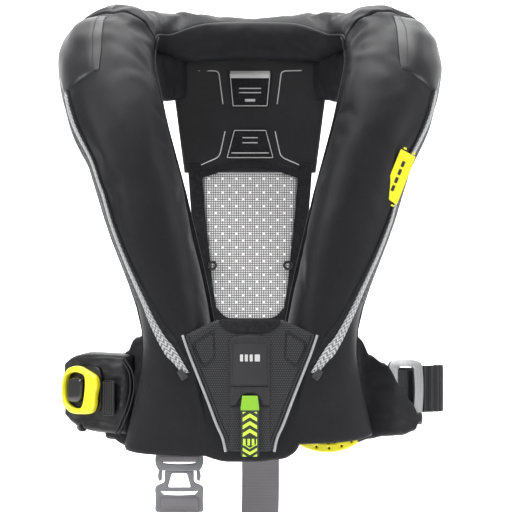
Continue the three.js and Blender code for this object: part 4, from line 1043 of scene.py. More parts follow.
def soft_pad(name, outline, low, high, place, material, puff=0.0, grid=0.004):
    """A stuffed or stiffened cloth panel: a grid of quads inside an outline, domed a little."""
    xs = [p[0] for p in outline]
    ys = [p[1] for p in outline]
    base = bmesh.new()
    rim = [base.verts.new((x, y, 0)) for x, y in outline]
    face = base.faces.new(rim)
    bmesh.ops.triangulate(base, faces=[face])
    for axis, first, last in (("x", min(xs), max(xs)), ("y", min(ys), max(ys))):
        cuts = int((last - first) / grid)
        for k in range(1, cuts):
            spot = first + (last - first) * k / cuts
            where = (spot, 0, 0) if axis == "x" else (0, spot, 0)
            way = (1, 0, 0) if axis == "x" else (0, 1, 0)
            bmesh.ops.bisect_plane(base, geom=base.verts[:] + base.edges[:] + base.faces[:], plane_co=where,
                                   plane_no=way)
    bmesh.ops.remove_doubles(base, verts=base.verts, dist=1e-5)
    rims = [(Vector(a), Vector(b)) for a, b in zip(outline, outline[1:] + outline[:1])]

    def from_rim(p):
        best = 1.0
        for a, b in rims:
            span = b - a
            t = min(max((p - a).dot(span) / max(span.length_squared, 1e-12), 0), 1)
            best = min(best, (p - a - span * t).length)
        return best

    base.verts.ensure_lookup_table()
    flat = [v.co.copy() for v in base.verts]
    faces = [[v.index for v in f.verts] for f in base.faces]
    border_edges = [(e.verts[0].index, e.verts[1].index) for e in base.edges if e.is_boundary]
    base.free()
    points, wall = [], high - low
    for p in flat:
        depth = from_rim(p.to_2d())
        roll = min(depth / (wall * 0.8), 1)
        z = low + wall * (0.25 + 0.75 * math.sqrt(max(1 - (1 - roll) ** 2, 0)))
        z += puff * min(depth / 0.012, 1) ** 0.7
        points.append(place(p.x, p.y, z))
    count = len(points)
    points.extend([place(p.x, p.y, low) for p in flat])
    faces = faces + [[k + count for k in reversed(f)] for f in faces]
    faces += [(a, b, b + count, a + count) for a, b in border_edges]
    obj = mesh_object(name, points, faces, material)
    work = bmesh.new()
    work.from_mesh(obj.data)
    bmesh.ops.recalc_face_normals(work, faces=work.faces)
    work.to_mesh(obj.data)
    work.free()
    return obj


grip = bpy.data.materials.new("grip_knit")
grip.use_nodes = True
knit = grip.node_tree
knit_shader = knit.nodes["Principled BSDF"]
knit_split = knit.nodes.new("ShaderNodeSeparateXYZ")
link(knit, knit.nodes.new("ShaderNodeTexCoord").outputs["Object"], knit_split.inputs[0])
DOT_PITCH = 0.0026
row_turns = math_node(knit, "MULTIPLY", knit_split.outputs["Z"], 1 / DOT_PITCH)
odd = math_node(knit, "MULTIPLY", math_node(knit, "MODULO", math_node(knit, "FLOOR", row_turns), 2.0), 0.5)
dot_x = math_node(knit, "SUBTRACT", math_node(knit, "FRACT", math_node(
    knit, "ADD", math_node(knit, "MULTIPLY", knit_split.outputs["X"], 1 / DOT_PITCH), odd)), 0.5)
dot_z = math_node(knit, "SUBTRACT", math_node(knit, "FRACT", row_turns), 0.5)
dot = math_node(knit, "SQRT", math_node(knit, "ADD", math_node(knit, "MULTIPLY", dot_x, dot_x),
                                        math_node(knit, "MULTIPLY", dot_z, dot_z)))
dot_mask = math_node(knit, "LESS_THAN", dot, 0.30)
knit_noise = knit.nodes.new("ShaderNodeTexNoise")
knit_noise.inputs["Scale"].default_value = 60
knit_tone = mix_colour(knit, math_node(knit, "MULTIPLY", knit_noise.outputs["Fac"], 0.6),
                       (0.014, 0.014, 0.016), (0.008, 0.008, 0.009))
link(knit, mix_colour(knit, dot_mask, knit_tone, (0.042, 0.043, 0.046)), knit_shader.inputs["Base Color"])
knit_bump = knit.nodes.new("ShaderNodeBump")
knit_bump.inputs["Strength"].default_value = 0.5
knit_bump.inputs["Distance"].default_value = 0.0004
link(knit, dot_mask, knit_bump.inputs["Height"])
link(knit, knit_bump.outputs["Normal"], knit_shader.inputs["Normal"])
knit_shader.inputs["Roughness"].default_value = 0.6
knit_shader.inputs["Specular IOR Level"].default_value = 0.25

right_edge = [(0.075, -0.017), (0.0685, -0.036), (0.0575, -0.064), (0.0465, -0.092), (0.036, -0.120),
              (0.029, -0.136),
              (0.0255, -0.1515)]
chest_outline = rounded_outline(
    [(-0.038, 0.0), (-0.020, -0.0015), (0.020, -0.0015), (0.038, 0.0), *right_edge,
     *[(-x, y) for x, y in right_edge[::-1]]], 0.003, 2)
grip_panel = soft_pad("grip_panel", chest_outline, 0.0, 0.0050, on_chest, grip, 0.0006)
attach(grip_panel, "jacket")
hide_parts("chest_grip_panel")

grip_thread = cloth_finish("grip_thread", (0.006, 0.006, 0.007), 0.6, 1500, 0.0, 0.0, 0.2)


def groove(name, corners, z, width, material, place, closed=True):
    """A flat dark seam line pressed into a panel."""
    line = [place(x, y, z) for x, y in corners]
    if closed:
        line.append(line[0])
    rings = []
    for k, p in enumerate(line):
        before, after = line[max(k - 1, 0)], line[min(k + 1, len(line) - 1)]
        if closed and k in (0, len(line) - 1):
            before, after = line[-2], line[1]
        way = (after - before).normalized()
        across = way.cross(CHEST_OUT).normalized() * width / 2
        rings.append([p - across, p + CHEST_OUT * 0.0004, p + across, p - CHEST_OUT * 0.001])
    return skin(name, rings, material)


lozenge = [(0.0408, -0.0105), (0.0660, -0.0262), (0.0535, -0.0545), (0.0395, -0.0440)]
for side, sign in (("left", -1), ("right", 1)):
    for number, shrink in enumerate((1.0, 0.86)):
        middle = (sum(x for x, _ in lozenge) / 4, sum(y for _, y in lozenge) / 4)
        shape = [(sign * (middle[0] + (x - middle[0]) * shrink), middle[1] + (y - middle[1]) * shrink)
                 for x, y in lozenge]
        seam = groove(f"{side}_lozenge_seam_{number}", rounded_outline(shape, 0.004, 4), 0.0055, 0.0010,
                      grip_thread, on_chest)
        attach(seam, "jacket")
    edge_seam = [(sign * (x - 0.0045), y) for x, y in right_edge]
    seam = groove(f"{side}_panel_seam", edge_seam, 0.0054, 0.0008, grip_thread, on_chest, closed=False)
    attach(seam, "jacket")

silver = cloth_finish("silver_piping", (0.42, 0.43, 0.44), 0.38, 1400, 0.0, 0.0, 0.3, 0.2, 0.5)
for side, sign in (("left", -1), ("right", 1)):
    line = [on_chest(sign * (x + 0.0021), y, 0.0022) for x, y in right_edge]
    fine = [smooth_through(line, k / 60) for k in range(61)]
    cord = round_tube(f"{side}_silver_piping", fine, 0.0018, silver)
    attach(cord, "jacket")
    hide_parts(f"{side}_piping")

# ---- Chest flap, pocket and release tab -----------------------------------------------------------
# A smooth flap covers the release and a green tab hangs from under its notch. The tab shows woven
# chevrons, and pulling it opens the release.
flap_cloth = cloth_finish("flap_cloth", (0.022, 0.022, 0.025), 0.5, 1300, 0.05, 0.05, 0.2, 0.0, 0.25)
half_round = [(0.0135 * math.cos(a), -0.0980 + 0.0135 * math.sin(a))
              for a in (math.pi * k / 12 for k in range(13))]
flap_top = [(0.0235 * math.cos(a), -0.0235 + 0.0070 * math.sin(a))
            for a in (math.pi * k / 14 for k in range(1, 14))]
flap_outline = [(0.0235, -0.0980), (0.0235, -0.0235), *flap_top, (-0.0235, -0.0235), (-0.0235, -0.0980),
                *half_round[::-1]]
flap = soft_pad("release_flap", flap_outline, 0.0054, 0.0078, on_chest, flap_cloth, 0.0005, 0.003)
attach(flap, "jacket")
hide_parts("chest_flap")
patch_cloth = cloth_finish("patch_cloth", (0.030, 0.030, 0.033), 0.45, 1300, 0.0, 0.05, 0.2, 0.0, 0.25)
patch_outline = rounded_outline([(-0.0185, -0.0265), (0.0185, -0.0265), (0.0195, -0.0730),
                                 (-0.0195, -0.0730)], 0.002, 3)
flap_patch = cut_plate("flap_patch", [patch_outline], 0.0080, 0.0093, 0.0005, on_chest, patch_cloth)
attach(flap_patch, "jacket")
for number, (x, width) in enumerate([(-0.0095, 0.0035), (-0.004, 0.0035), (0.0015, 0.0035),
                                     (0.0085, 0.0060)]):
    bar = cut_plate(f"patch_bar_{number}", [rounded_outline(
        [(x - width / 2, -0.0385), (x + width / 2, -0.0385), (x + width / 2, -0.0465),
         (x - width / 2, -0.0465)], 0.0008, 2)],
        0.0091, 0.0098, 0.0002, on_chest, white_print)
    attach(bar, "jacket")
flap_seam = groove("flap_cross_seam", [(-0.0225, -0.0755), (0.0225, -0.0755)], 0.0083, 0.0010, grip_thread,
                   on_chest, closed=False)
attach(flap_seam, "jacket")
pocket_outline = rounded_outline([(-0.0235, -0.0990), (0.0235, -0.0990), (0.0235, -0.1505),
                                  (-0.0235, -0.1505)], 0.002, 3)
pocket = soft_pad("tab_pocket", pocket_outline, 0.0054, 0.0074, on_chest, grip, 0.0004, 0.003)
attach(pocket, "jacket")
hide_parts("release_pocket")

chevrons = bpy.data.materials.new("chevron_tab")
chevrons.use_nodes = True
tab_tree = chevrons.node_tree
tab_shader = tab_tree.nodes["Principled BSDF"]
tab_split = tab_tree.nodes.new("ShaderNodeSeparateXYZ")
link(tab_tree, tab_tree.nodes.new("ShaderNodeTexCoord").outputs["UV"], tab_split.inputs[0])
tab_x = math_node(tab_tree, "ABSOLUTE", tab_split.outputs["X"])
tab_y = tab_split.outputs["Y"]
peak = math_node(tab_tree, "ADD", tab_y, math_node(tab_tree, "MULTIPLY", tab_x, 0.62))
stripes = math_node(tab_tree, "GREATER_THAN", math_node(tab_tree, "FRACT", math_node(
    tab_tree, "MULTIPLY", math_node(tab_tree, "ADD", peak, 0.0025), 1 / 0.0088)), 0.50)
upper = math_node(tab_tree, "MULTIPLY", math_node(tab_tree, "LESS_THAN", tab_y, -0.0185),
                  math_node(tab_tree, "GREATER_THAN", peak, -0.0440))
down = math_node(tab_tree, "SUBTRACT", tab_y, math_node(tab_tree, "MULTIPLY", tab_x, 0.62))
down_stripes = math_node(tab_tree, "GREATER_THAN", math_node(tab_tree, "FRACT", math_node(
    tab_tree, "MULTIPLY", down, 1 / 0.0072)), 0.52)
lower = math_node(tab_tree, "LESS_THAN", down, -0.0600)
head = math_node(tab_tree, "GREATER_THAN", tab_y, -0.0165)
inside = math_node(tab_tree, "LESS_THAN", tab_x, 0.0082)
bar_rows = math_node(tab_tree, "MULTIPLY", math_node(tab_tree, "GREATER_THAN", tab_y, -0.0570),
                     math_node(tab_tree, "LESS_THAN", tab_y, -0.0495))
bar_columns = math_node(tab_tree, "GREATER_THAN", math_node(tab_tree, "FRACT", math_node(
    tab_tree, "MULTIPLY", tab_split.outputs["X"], 1 / 0.0050)), 0.45)
bright = math_node(tab_tree, "MAXIMUM", math_node(tab_tree, "MULTIPLY", stripes, upper),
                   math_node(tab_tree, "MULTIPLY", down_stripes, lower))
bright = math_node(tab_tree, "MAXIMUM", bright, math_node(tab_tree, "MULTIPLY", bar_rows, bar_columns))
bright = math_node(tab_tree, "MULTIPLY", bright, inside)
tab_base = mix_colour(tab_tree, head, (0.012, 0.016, 0.010), (0.20, 0.44, 0.012))
tab_noise = tab_tree.nodes.new("ShaderNodeTexNoise")
tab_noise.inputs["Scale"].default_value = 500
lime = mix_colour(tab_tree, tab_noise.outputs["Fac"], (0.42, 0.72, 0.03), (0.60, 0.82, 0.05))
link(tab_tree, mix_colour(tab_tree, bright, tab_base, lime), tab_shader.inputs["Base Color"])
tab_wave = math_node(tab_tree, "SINE", math_node(tab_tree, "MULTIPLY", tab_y, 5200.0))
tab_bump = tab_tree.nodes.new("ShaderNodeBump")
tab_bump.inputs["Strength"].default_value = 0.3
tab_bump.inputs["Distance"].default_value = 0.0004
link(tab_tree, tab_wave, tab_bump.inputs["Height"])
link(tab_tree, tab_bump.outputs["Normal"], tab_shader.inputs["Normal"])
tab_shader.inputs["Roughness"].default_value = 0.6

TAB_TOP = -0.0860
TAB_LENGTH = 0.070
rings, values = [], []
for k in range(41):
    y = TAB_TOP - TAB_LENGTH * k / 40
    half = 0.0088 + 0.0018 * min(k / 8, 1)
    bow = 0.0012 * math.sin(math.pi * k / 40)
    ring = []
    for x, z in ((-half, 0.0), (-half, 0.0012), (-half * 0.5, 0.0016), (0, 0.0017), (half * 0.5, 0.0016),
                 (half, 0.0012), (half, 0.0)):
        ring.append(on_chest(x, y, 0.0088 + bow + z))
        values.append((x, y - TAB_TOP))
    rings.append(ring)
tab = skin("release_tab", rings, chevrons)
surface_uv(tab, values)
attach(tab, "release_tab")
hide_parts("release_pull_tab")

# ---- Hip panels -----------------------------------------------------------------------------------
# Padded nylon wings carry the waist belt round both hips. The right one is cut away in a curve to
# clear the belt rings.
WAIST_A, WAIST_B = 0.214, 0.116


def waist_point(turn, z, lift=0.0):
    """A point on the waist oval. Turn 0 faces front, and positive turns go to the jacket's right."""
    at = Vector((WAIST_A * math.sin(turn), -WAIST_B * math.cos(turn), z))
    out = Vector((at.x / WAIST_A ** 2, at.y / WAIST_B ** 2, 0)).normalized()
    return at + out * lift


turn_at = lambda x: math.asin(max(-1, min(1, x / WAIST_A)))


def wing(name, node, from_turn, to_turn, lift, top_at, foot_at, material, thick=0.009, columns=44, rows=36,
         seed=1.0):
    """A padded panel round the waist, with creases pressed into its outside."""
    lift_at = lift if callable(lift) else lambda t: lift
    rings = []
    for c in range(columns + 1):
        t = c / columns
        turn = from_turn + (to_turn - from_turn) * t
        top, foot, base = top_at(t), foot_at(t), lift_at(t)
        outer, inner = [], []
        for r in range(rows + 1):
            s = r / rows
            z = top + (foot - top) * s
            edge = min(s, 1 - s) * (top - foot)
            end = min(t, 1 - t) * 0.07
            roll = math.sqrt(max(1 - (1 - min(edge / 0.006, 1)) ** 2, 0))
            roll *= 0.4 + 0.6 * min(end / 0.005, 1)
            spot = Vector((t * 0.06, 0, z))
            crease = 0.0016 * soft_noise(spot, 0.016, seed) + 0.0009 * soft_noise(spot, 0.006, seed + 4)
            outer.append(waist_point(turn, z, base + 0.0012 + (thick - 0.0012) * roll + crease * roll))
            inner.append(waist_point(turn, z, base))
        rings.append(outer + inner[::-1])
    obj = skin(name, rings, material)
    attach(obj, "jacket")
    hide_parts(node)
    return obj




def edge_at(x, profile):
    """A height read off a short profile of (x, z) points."""
    for (x0, z0), (x1, z1) in zip(profile, profile[1:]):
        if x <= x1:
            return z0 + (z1 - z0) * smooth_step(x, x0, x1)
    return profile[-1][1]


LEFT_TOP = [(0.100, -0.315), (0.128, -0.330), (0.136, -0.345), (0.150, -0.355), (0.175, -0.356)]
LEFT_FOOT = [(0.100, -0.462), (0.124, -0.461), (0.141, -0.456), (0.156, -0.449), (0.175, -0.447)]
left_from, left_to = turn_at(-0.100), turn_at(-0.166)
left_x = lambda t: 0.100 + 0.066 * t
left_wing = wing("left_hip_wing", "left_hip_panel", left_from, left_to, -0.0030,
                 lambda t: edge_at(left_x(t), LEFT_TOP),
                 lambda t: edge_at(left_x(t), LEFT_FOOT), nylon, 0.0110, 60, 44)
RIGHT_TOP = [(0.100, -0.316), (0.128, -0.330), (0.140, -0.350), (0.158, -0.360), (0.176, -0.385),
             (0.188, -0.404), (0.196, -0.418)]
RIGHT_FOOT = [(0.100, -0.455), (0.127, -0.452), (0.141, -0.448), (0.158, -0.445), (0.180, -0.444),
              (0.192, -0.440), (0.196, -0.432)]
right_from, right_to = turn_at(0.100), turn_at(0.1870)
right_x = lambda t: waist_point(right_from + (right_to - right_from) * t, 0, right_lift(t) + 0.010).x
right_lift = lambda t: -0.0030 + 0.0168 * smooth_step(t, 0.22, 0.62)
right_wing = wing("right_hip_wing", "right_hip_panel", right_from, right_to, right_lift,
                  lambda t: edge_at(right_x(t), RIGHT_TOP),
                  lambda t: edge_at(right_x(t), RIGHT_FOOT), nylon, 0.0095, 64, 44, seed=7.0)

# ---- Hem apron ------------------------------------------------------------------------------------
# A rolled nylon hem closes the front between the two lobes. The foot of the chest panel is sewn
# down on it.
apron_outline = rounded_outline([(-0.052, -0.050), (0.052, -0.050), (0.067, -0.095), (0.068, -0.118),
        (0.060, -0.1360), (0.054, -0.1520), (0.042, -0.1605), (0.012, -0.1645), (-0.030, -0.1645),
                                 (-0.046, -0.1600), (-0.062, -0.1530), (-0.067, -0.122)], 0.006, 4)
apron = soft_pad("hem_apron", apron_outline, -0.0075, -0.0015, on_chest, nylon, 0.0008, 0.003)
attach(apron, "jacket")
# A dark lining pad over the top of the grip panel, above the release flap. It is partly a black cloth band
# and partly painted shade for the shadow that falls there.
shade_pad_outline = rounded_outline([(-0.0370, 0.0012), (0.0370, 0.0012), (0.0300, -0.0105), (0.0180, -0.0158),
                                (-0.0180, -0.0158), (-0.0300, -0.0105)],
                               0.005, 4)
shade_pad = soft_pad("panel_hood", shade_pad_outline, 0.0052, 0.0066, on_chest, lining_cloth, 0.0005, 0.003)
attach(shade_pad, "jacket")

# ---- Hip pod --------------------------------------------------------------------------------------
# A padded, coated pod on the left hip backs the belt adjuster. A piped seam runs round its inner
# end, and the spare belt is rolled under it.
glossy_nylon = cloth_finish("glossy_nylon", (0.006, 0.006, 0.008), 0.40, 1200, 0.02, 0.0, 0.15, 0.08, 0.28)
pod_from, pod_to = turn_at(-0.1300), -1.26
pod_edge = lambda t: 1 - 0.40 * (max(0, t - 0.45) / 0.55) ** 2.4
pod = wing("padded_hip_pod", "hip_pod", pod_from, pod_to, 0.0028,
           lambda t: -0.391 + 0.0455 * pod_edge(t) - 0.004 * (1 - t),
           lambda t: -0.391 - 0.0455 * pod_edge(t) - 0.008 * (1 - t), glossy_nylon, 0.0150, 48, 40,
           seed=12.0)
SEAM_COURSE = [Vector((-0.1400, 0, -0.3560)), Vector((-0.1320, 0, -0.3710)), Vector((-0.1305, 0, -0.3900)),
               Vector((-0.1340, 0, -0.4080)),
               Vector((-0.1400, 0, -0.4260)), Vector((-0.1470, 0, -0.4430))]
pod_seam = []
for k in range(61):
    mark = smooth_through(SEAM_COURSE, k / 60)
    pod_seam.append(waist_point(turn_at(mark.x), mark.z, 0.0182))
for number, shift in enumerate((0.0, 0.0042)):
    seam = round_tube(f"pod_piping_{number}", [p + Vector((shift, -shift * 0.7, 0)) for p in pod_seam],
                      0.0010, black_thread)
    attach(seam, "jacket")


def web_finish(name, colour, pale, rib=3000.0, roughness=0.6, slant=1.2):
    """Woven webbing: diagonal ribs along its length, from the strip's own coordinates."""
    material = bpy.data.materials.new(name)
    material.use_nodes = True
    tree = material.node_tree
    shader = tree.nodes["Principled BSDF"]
    parts = tree.nodes.new("ShaderNodeSeparateXYZ")
    link(tree, tree.nodes.new("ShaderNodeTexCoord").outputs["UV"], parts.inputs[0])
    lean = math_node(tree, "ABSOLUTE", math_node(tree, "SUBTRACT", math_node(
        tree, "FRACT", math_node(tree, "MULTIPLY", parts.outputs["X"], 160.0)), 0.5))
    turns = math_node(tree, "ADD", math_node(tree, "MULTIPLY", parts.outputs["Y"], rib),
                      math_node(tree, "MULTIPLY", lean, slant))
    wave = math_node(tree, "MULTIPLY", math_node(tree, "ADD", math_node(tree, "SINE", turns), 1.0), 0.5)
    fuzz = tree.nodes.new("ShaderNodeTexNoise")
    fuzz.inputs["Scale"].default_value = 180
    fuzz.inputs["Detail"].default_value = 4
    mask = math_node(tree, "MULTIPLY", wave, math_node(tree, "ADD", fuzz.outputs["Fac"], 0.2))
    link(tree, mix_colour(tree, mask, colour, pale), shader.inputs["Base Color"])
    relief = tree.nodes.new("ShaderNodeBump")
    relief.inputs["Strength"].default_value = 0.45
    relief.inputs["Distance"].default_value = 0.0004
    link(tree, wave, relief.inputs["Height"])
    link(tree, relief.outputs["Normal"], shader.inputs["Normal"])
    shader.inputs["Roughness"].default_value = roughness
    shader.inputs["Specular IOR Level"].default_value = 0.25
    return material


webbing = web_finish("belt_webbing", (0.007, 0.007, 0.008), (0.035, 0.035, 0.038))


def strap(name, places, width, thick, material):
    """A flat strap through (middle, across) places, with rounded selvedges."""
    rings, values, way, last = [], [], 0.0, None
    for number, (middle, across) in enumerate(places):
        before = places[max(number - 1, 0)][0]
        after = places[min(number + 1, len(places) - 1)][0]
        along = (after - before).normalized()
        out = along.cross(across).normalized()
        way += (middle - last).length if last else 0
        last = middle
        ring = []
        for x, y in ((-0.5, -0.25), (-0.47, -0.5), (0, -0.5), (0.47, -0.5), (0.5, -0.25), (0.5, 0.25),
                     (0.47, 0.5), (0, 0.5),
                     (-0.47, 0.5), (-0.5, 0.25)):
            ring.append(middle + across * x * width + out * y * thick)
            values.append((x * width, way))
        rings.append(ring)
    obj = skin(name, rings, material)
    surface_uv(obj, values)
    return obj


# ---- Waist belt -----------------------------------------------------------------------------------
# Black 46 mm webbing goes from the rings round the back to the pod, and a hidden run goes behind
# the lobes. Its pleated tail is folded over the belt behind the rings.
up = Vector((0, 0, 1))
ring_turn = turn_at(0.172)
back_turns = row(ring_turn + 0.16, math.tau - 1.32, 110)
back_belt = strap("back_belt", [(waist_point(t, BELT_HEIGHT, 0.0012), up) for t in back_turns], 0.046,
                  0.0022, webbing)
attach(back_belt, "jacket")
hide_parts("back_waist_belt")
front_turns = row(turn_at(-0.150) + 0.05, ring_turn - 0.12, 60)
front_belt = strap("front_belt", [(waist_point(t, BELT_HEIGHT, -0.0010), up) for t in front_turns], 0.046,
                   0.0022, webbing)
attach(front_belt, "jacket")
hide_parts("front_waist_belt")
joining = strap("ring_webbing", [(waist_point(t, BELT_HEIGHT, 0.0026), up)
                                 for t in row(ring_turn - 0.115, ring_turn + 0.165, 16)],
                0.044, 0.0020, webbing)
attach(joining, "jacket")

tail_turns = row(ring_turn + 0.20, ring_turn + 0.80, 80)
tail_places = []
for k, t in enumerate(tail_turns):
    pleat = 0.5 + 0.5 * math.cos(k / 80 * math.tau * 5.5)
    tail_places.append((waist_point(t, BELT_HEIGHT, 0.0042 + 0.0060 * pleat ** 2), up))
tail = strap("pleated_tail", tail_places, 0.054, 0.0024, webbing)
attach(tail, "jacket")
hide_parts("belt_tail")

# ---- Belt adjuster --------------------------------------------------------------------------------
# A black base is sewn to the pod and holds a rounded bar. The yellow frame is hinged on it: lifting
# it frees the belt, and pressing it flat locks the belt.
ADJUSTER_X = Vector((0.7762, -0.6305, 0))
ADJUSTER_OUT = Vector((-0.6305, -0.7762, 0))
ADJUSTER_MIDDLE = Vector((-0.1943, -0.0845, -0.3910)) - ADJUSTER_OUT * 0.008
on_adjuster = lambda x, y, z: ADJUSTER_MIDDLE + ADJUSTER_X * x + up * y + ADJUSTER_OUT * z
yellow_plastic = moulded("yellow_plastic", (0.70, 0.64, 0.010), 0.35, 0.004, 0.2)


def rounded_box(width, height, radius, x=0.0, y=0.0, steps=7):
    return rounded_outline([(x - width / 2, y - height / 2), (x + width / 2, y - height / 2),
                            (x + width / 2, y + height / 2), (x - width / 2, y + height / 2)], radius,
                           steps)


base = cut_plate("adjuster_plate", [rounded_box(0.050, 0.053, 0.012)], 0.0, 0.0030, 0.0010, on_adjuster,
                 black_plastic)
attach(base, "jacket")
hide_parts("adjuster_base")
yellow_outer = rounded_outline(
    [(-0.0210, 0.0240), (-0.0080, 0.0275), (0.0010, 0.0265), (0.0240, 0.0160), (0.0270, 0.0060),
     (0.0230, -0.0050), (0.0225, -0.0190),
     (0.0180, -0.0265), (0.0100, -0.0285), (-0.0080, -0.0285), (-0.0160, -0.0270), (-0.0265, -0.0190),
     (-0.0280, -0.0090),
     (-0.0280, 0.0030), (-0.0260, 0.0140)], [0.006, 0.006, 0.006, 0.009, 0.005, 0.006, 0.005, 0.004, 0.004,
                                             0.006, 0.006, 0.006,
                                            0.006, 0.006, 0.006], 5)
yellow_inner = rounded_outline(
    [(-0.0200, 0.0175), (-0.0080, 0.0205), (0.0065, 0.0165), (0.0070, 0.0045), (0.0050, -0.0105),
     (0.0015, -0.0220), (-0.0110, -0.0215),
     (-0.0215, -0.0150), (-0.0235, -0.0035), (-0.0230, 0.0080)], 0.005, 5)
frame_piece = cut_plate("adjuster_lever_frame", [yellow_outer, yellow_inner], 0.0033, 0.0122, 0.0034,
                        on_adjuster, yellow_plastic, 5)
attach(frame_piece, "adjuster")
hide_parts("adjuster_frame")
gloss_black = moulded("gloss_black", (0.008, 0.008, 0.009), 0.18, 0.003, 0.6)
bar_profile = rounded_box(0.0220, 0.0085, 0.0040)
bar_rings = []
for k in range(25):
    y = -0.0150 + 0.029 * k / 24
    squeeze = math.sqrt(max(1 - abs(2 * k / 24 - 1) ** 6, 0.15))
    lean = 0.08 * y - 0.0085
    bar_rings.append([on_adjuster(x * squeeze + lean, y, 0.0078 + z * squeeze) for x, z in bar_profile])
locking_bar = skin("adjuster_locking_bar", bar_rings, gloss_black)
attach(locking_bar, "jacket")
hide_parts("adjuster_bar")
recess_rim = cut_plate("recess_rim", [rounded_box(0.0200, 0.041, 0.005, 0.0335, -0.0095),
                                      rounded_box(0.0165, 0.037, 0.004, 0.0335, -0.0095)],
                       -0.0010, 0.0012, 0.0009, on_adjuster, black_plastic)
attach(recess_rim, "jacket")
ribbed = []
for k in range(64):
    x = 0.0262 + 0.0175 * k / 63
    ribbed.append((on_adjuster(x, -0.0095, 0.0008 + 0.0011 * abs(math.sin(math.pi * k / 63 * 5))), up))
ribbed_web = strap("adjuster_ribbed_web", ribbed, 0.0375, 0.0016, webbing)
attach(ribbed_web, "jacket")
roll_line = []
for k in range(70):
    angle = math.tau * 2.2 * k / 69
    radius = 0.0022 + 0.0032 * k / 69
    centre = waist_point(-1.06, -0.4345, 0.0105)
    side = Vector((0.55, 0.835, 0)).normalized()
    roll_line.append((centre + Vector((0, 0, 1)) * radius * math.sin(angle)
                      + waist_point(-1.06, 0, 1.0).xy.to_3d().normalized() * radius * math.cos(angle),
                      Vector((-0.30, 0.954, 0)).normalized()))
rolled = strap("rolled_belt_end", roll_line, 0.013, 0.0016, webbing)
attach(rolled, "jacket")

# ---- Belt rings -----------------------------------------------------------------------------------
# Two flat stainless rings overlap at the right hip. Webbing is sewn round their inner bars, and
# a tether can be clipped to them.
steel = bpy.data.materials.new("brushed_steel")
steel.use_nodes = True
steel_tree = steel.node_tree
steel_shader = steel_tree.nodes["Principled BSDF"]
brushing = steel_tree.nodes.new("ShaderNodeTexNoise")
brushing.inputs["Scale"].default_value = 300
steel_map = steel_tree.nodes.new("ShaderNodeMapping")
steel_map.inputs["Scale"].default_value = (1, 1, 0.06)
link(steel_tree, steel_tree.nodes.new("ShaderNodeTexCoord").outputs["Object"], steel_map.inputs["Vector"])
link(steel_tree, steel_map.outputs["Vector"], brushing.inputs["Vector"])
link(steel_tree, mix_colour(steel_tree, brushing.outputs["Fac"], (0.24, 0.245, 0.25), (0.40, 0.405, 0.41)),
     steel_shader.inputs["Base Color"])
steel_rough = math_node(steel_tree, "MULTIPLY", brushing.outputs["Fac"], 0.25)
link(steel_tree, math_node(steel_tree, "ADD", steel_rough, 0.22),
     steel_shader.inputs["Roughness"])
steel_shader.inputs["Metallic"].default_value = 0.85

RING_ALONG = Vector((0.8068, 0.5908, 0))
RING_OUT = Vector((0.5908, -0.8068, 0))
RING_MIDDLE = Vector((0.17885, -0.07838, -0.391)) - RING_OUT * 0.0092
on_rings = lambda x, y, z: RING_MIDDLE + RING_ALONG * x + up * y + RING_OUT * z
ring_rim = rounded_outline([(-0.023, -0.034), (0.0195, -0.034), (0.0230, -0.004), (0.0205, 0.030),
                            (0.010, 0.034), (-0.023, 0.034)],
                           [0.010, 0.008, 0.02, 0.008, 0.006, 0.010], 6)
ring_hole = rounded_outline([(-0.015, -0.026), (0.0125, -0.026), (0.0150, -0.004), (0.0135, 0.025),
                             (0.008, 0.0265), (-0.015, 0.0265)],
                            [0.006, 0.005, 0.014, 0.005, 0.004, 0.006], 6)
for name, node, shift, low in (("outer_ring", "belt_outer_ring", 0.0, 0.0052),
                               ("inner_ring", "belt_inner_ring", 0.009, 0.0009)):
    ring = cut_plate(name, [ring_rim, ring_hole], low, low + 0.004, 0.0012,
                     lambda x, y, z, s=shift: on_rings(x + s, y, z), steel, 3)
    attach(ring, "jacket")
    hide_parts(node)

# ---- Crutch buckle --------------------------------------------------------------------------------
# A grey side-release buckle joins the crutch strap to the front hem. Its two prongs show at the
# sides and through the window, and squeezing them frees the lower half.
grey_plastic = moulded("grey_plastic", (0.135, 0.138, 0.148), 0.45, 0.01)
male_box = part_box("crutch_buckle_male")
BUCKLE_Y = (male_box[0][1] + male_box[1][1]) / 2
BUCKLE_TOP = male_box[1][2]
on_buckle = lambda x, y, z: Vector((-0.081 + x, BUCKLE_Y - z, BUCKLE_TOP + y))


def crescent(width, middle, thick, sag, steps=12):
    """A long slot whose lower side bows down."""
    top = [(-width / 2 + width * k / steps, middle + thick / 2 - sag * (1 - (2 * k / steps - 1) ** 2) * 0.5)
           for k in range(steps + 1)]
    foot = [(width / 2 - width * k / steps, middle - thick / 2 - sag * (1 - (2 * k / steps - 1) ** 2))
            for k in range(1, steps)]
    return top + foot


male_outline = rounded_outline([(-0.0272, 0.0), (0.0272, 0.0), (0.0282, -0.0110), (0.0238, -0.0195),
                                (-0.0238, -0.0195), (-0.0282, -0.0110)],
                               [0.004, 0.004, 0.005, 0.003, 0.003, 0.005], 5)
male = cut_plate("buckle_male_half", [male_outline, crescent(0.043, -0.0080, 0.0040, 0.0018)], -0.0052,
                 0.0052, 0.0012,
                 on_buckle, grey_plastic, 3)
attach(male, "jacket")
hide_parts("crutch_buckle_male")
female_outline = rounded_outline([(-0.0168, -0.0198), (0.0168, -0.0198), (0.0168, -0.0325),
                                  (0.0285, -0.0372), (0.0272, -0.0480),
                                  (0.0280, -0.0670), (-0.0280, -0.0670), (-0.0272, -0.0480),
                                  (-0.0285, -0.0372), (-0.0168, -0.0325)],
                                 [0.001, 0.001, 0.003, 0.005, 0.006, 0.004, 0.004, 0.006, 0.005, 0.003], 5)
window = rounded_outline([(-0.0085, -0.0225), (0.0085, -0.0225), (0.0130, -0.0385), (-0.0130, -0.0385)],
                         0.0018, 4)
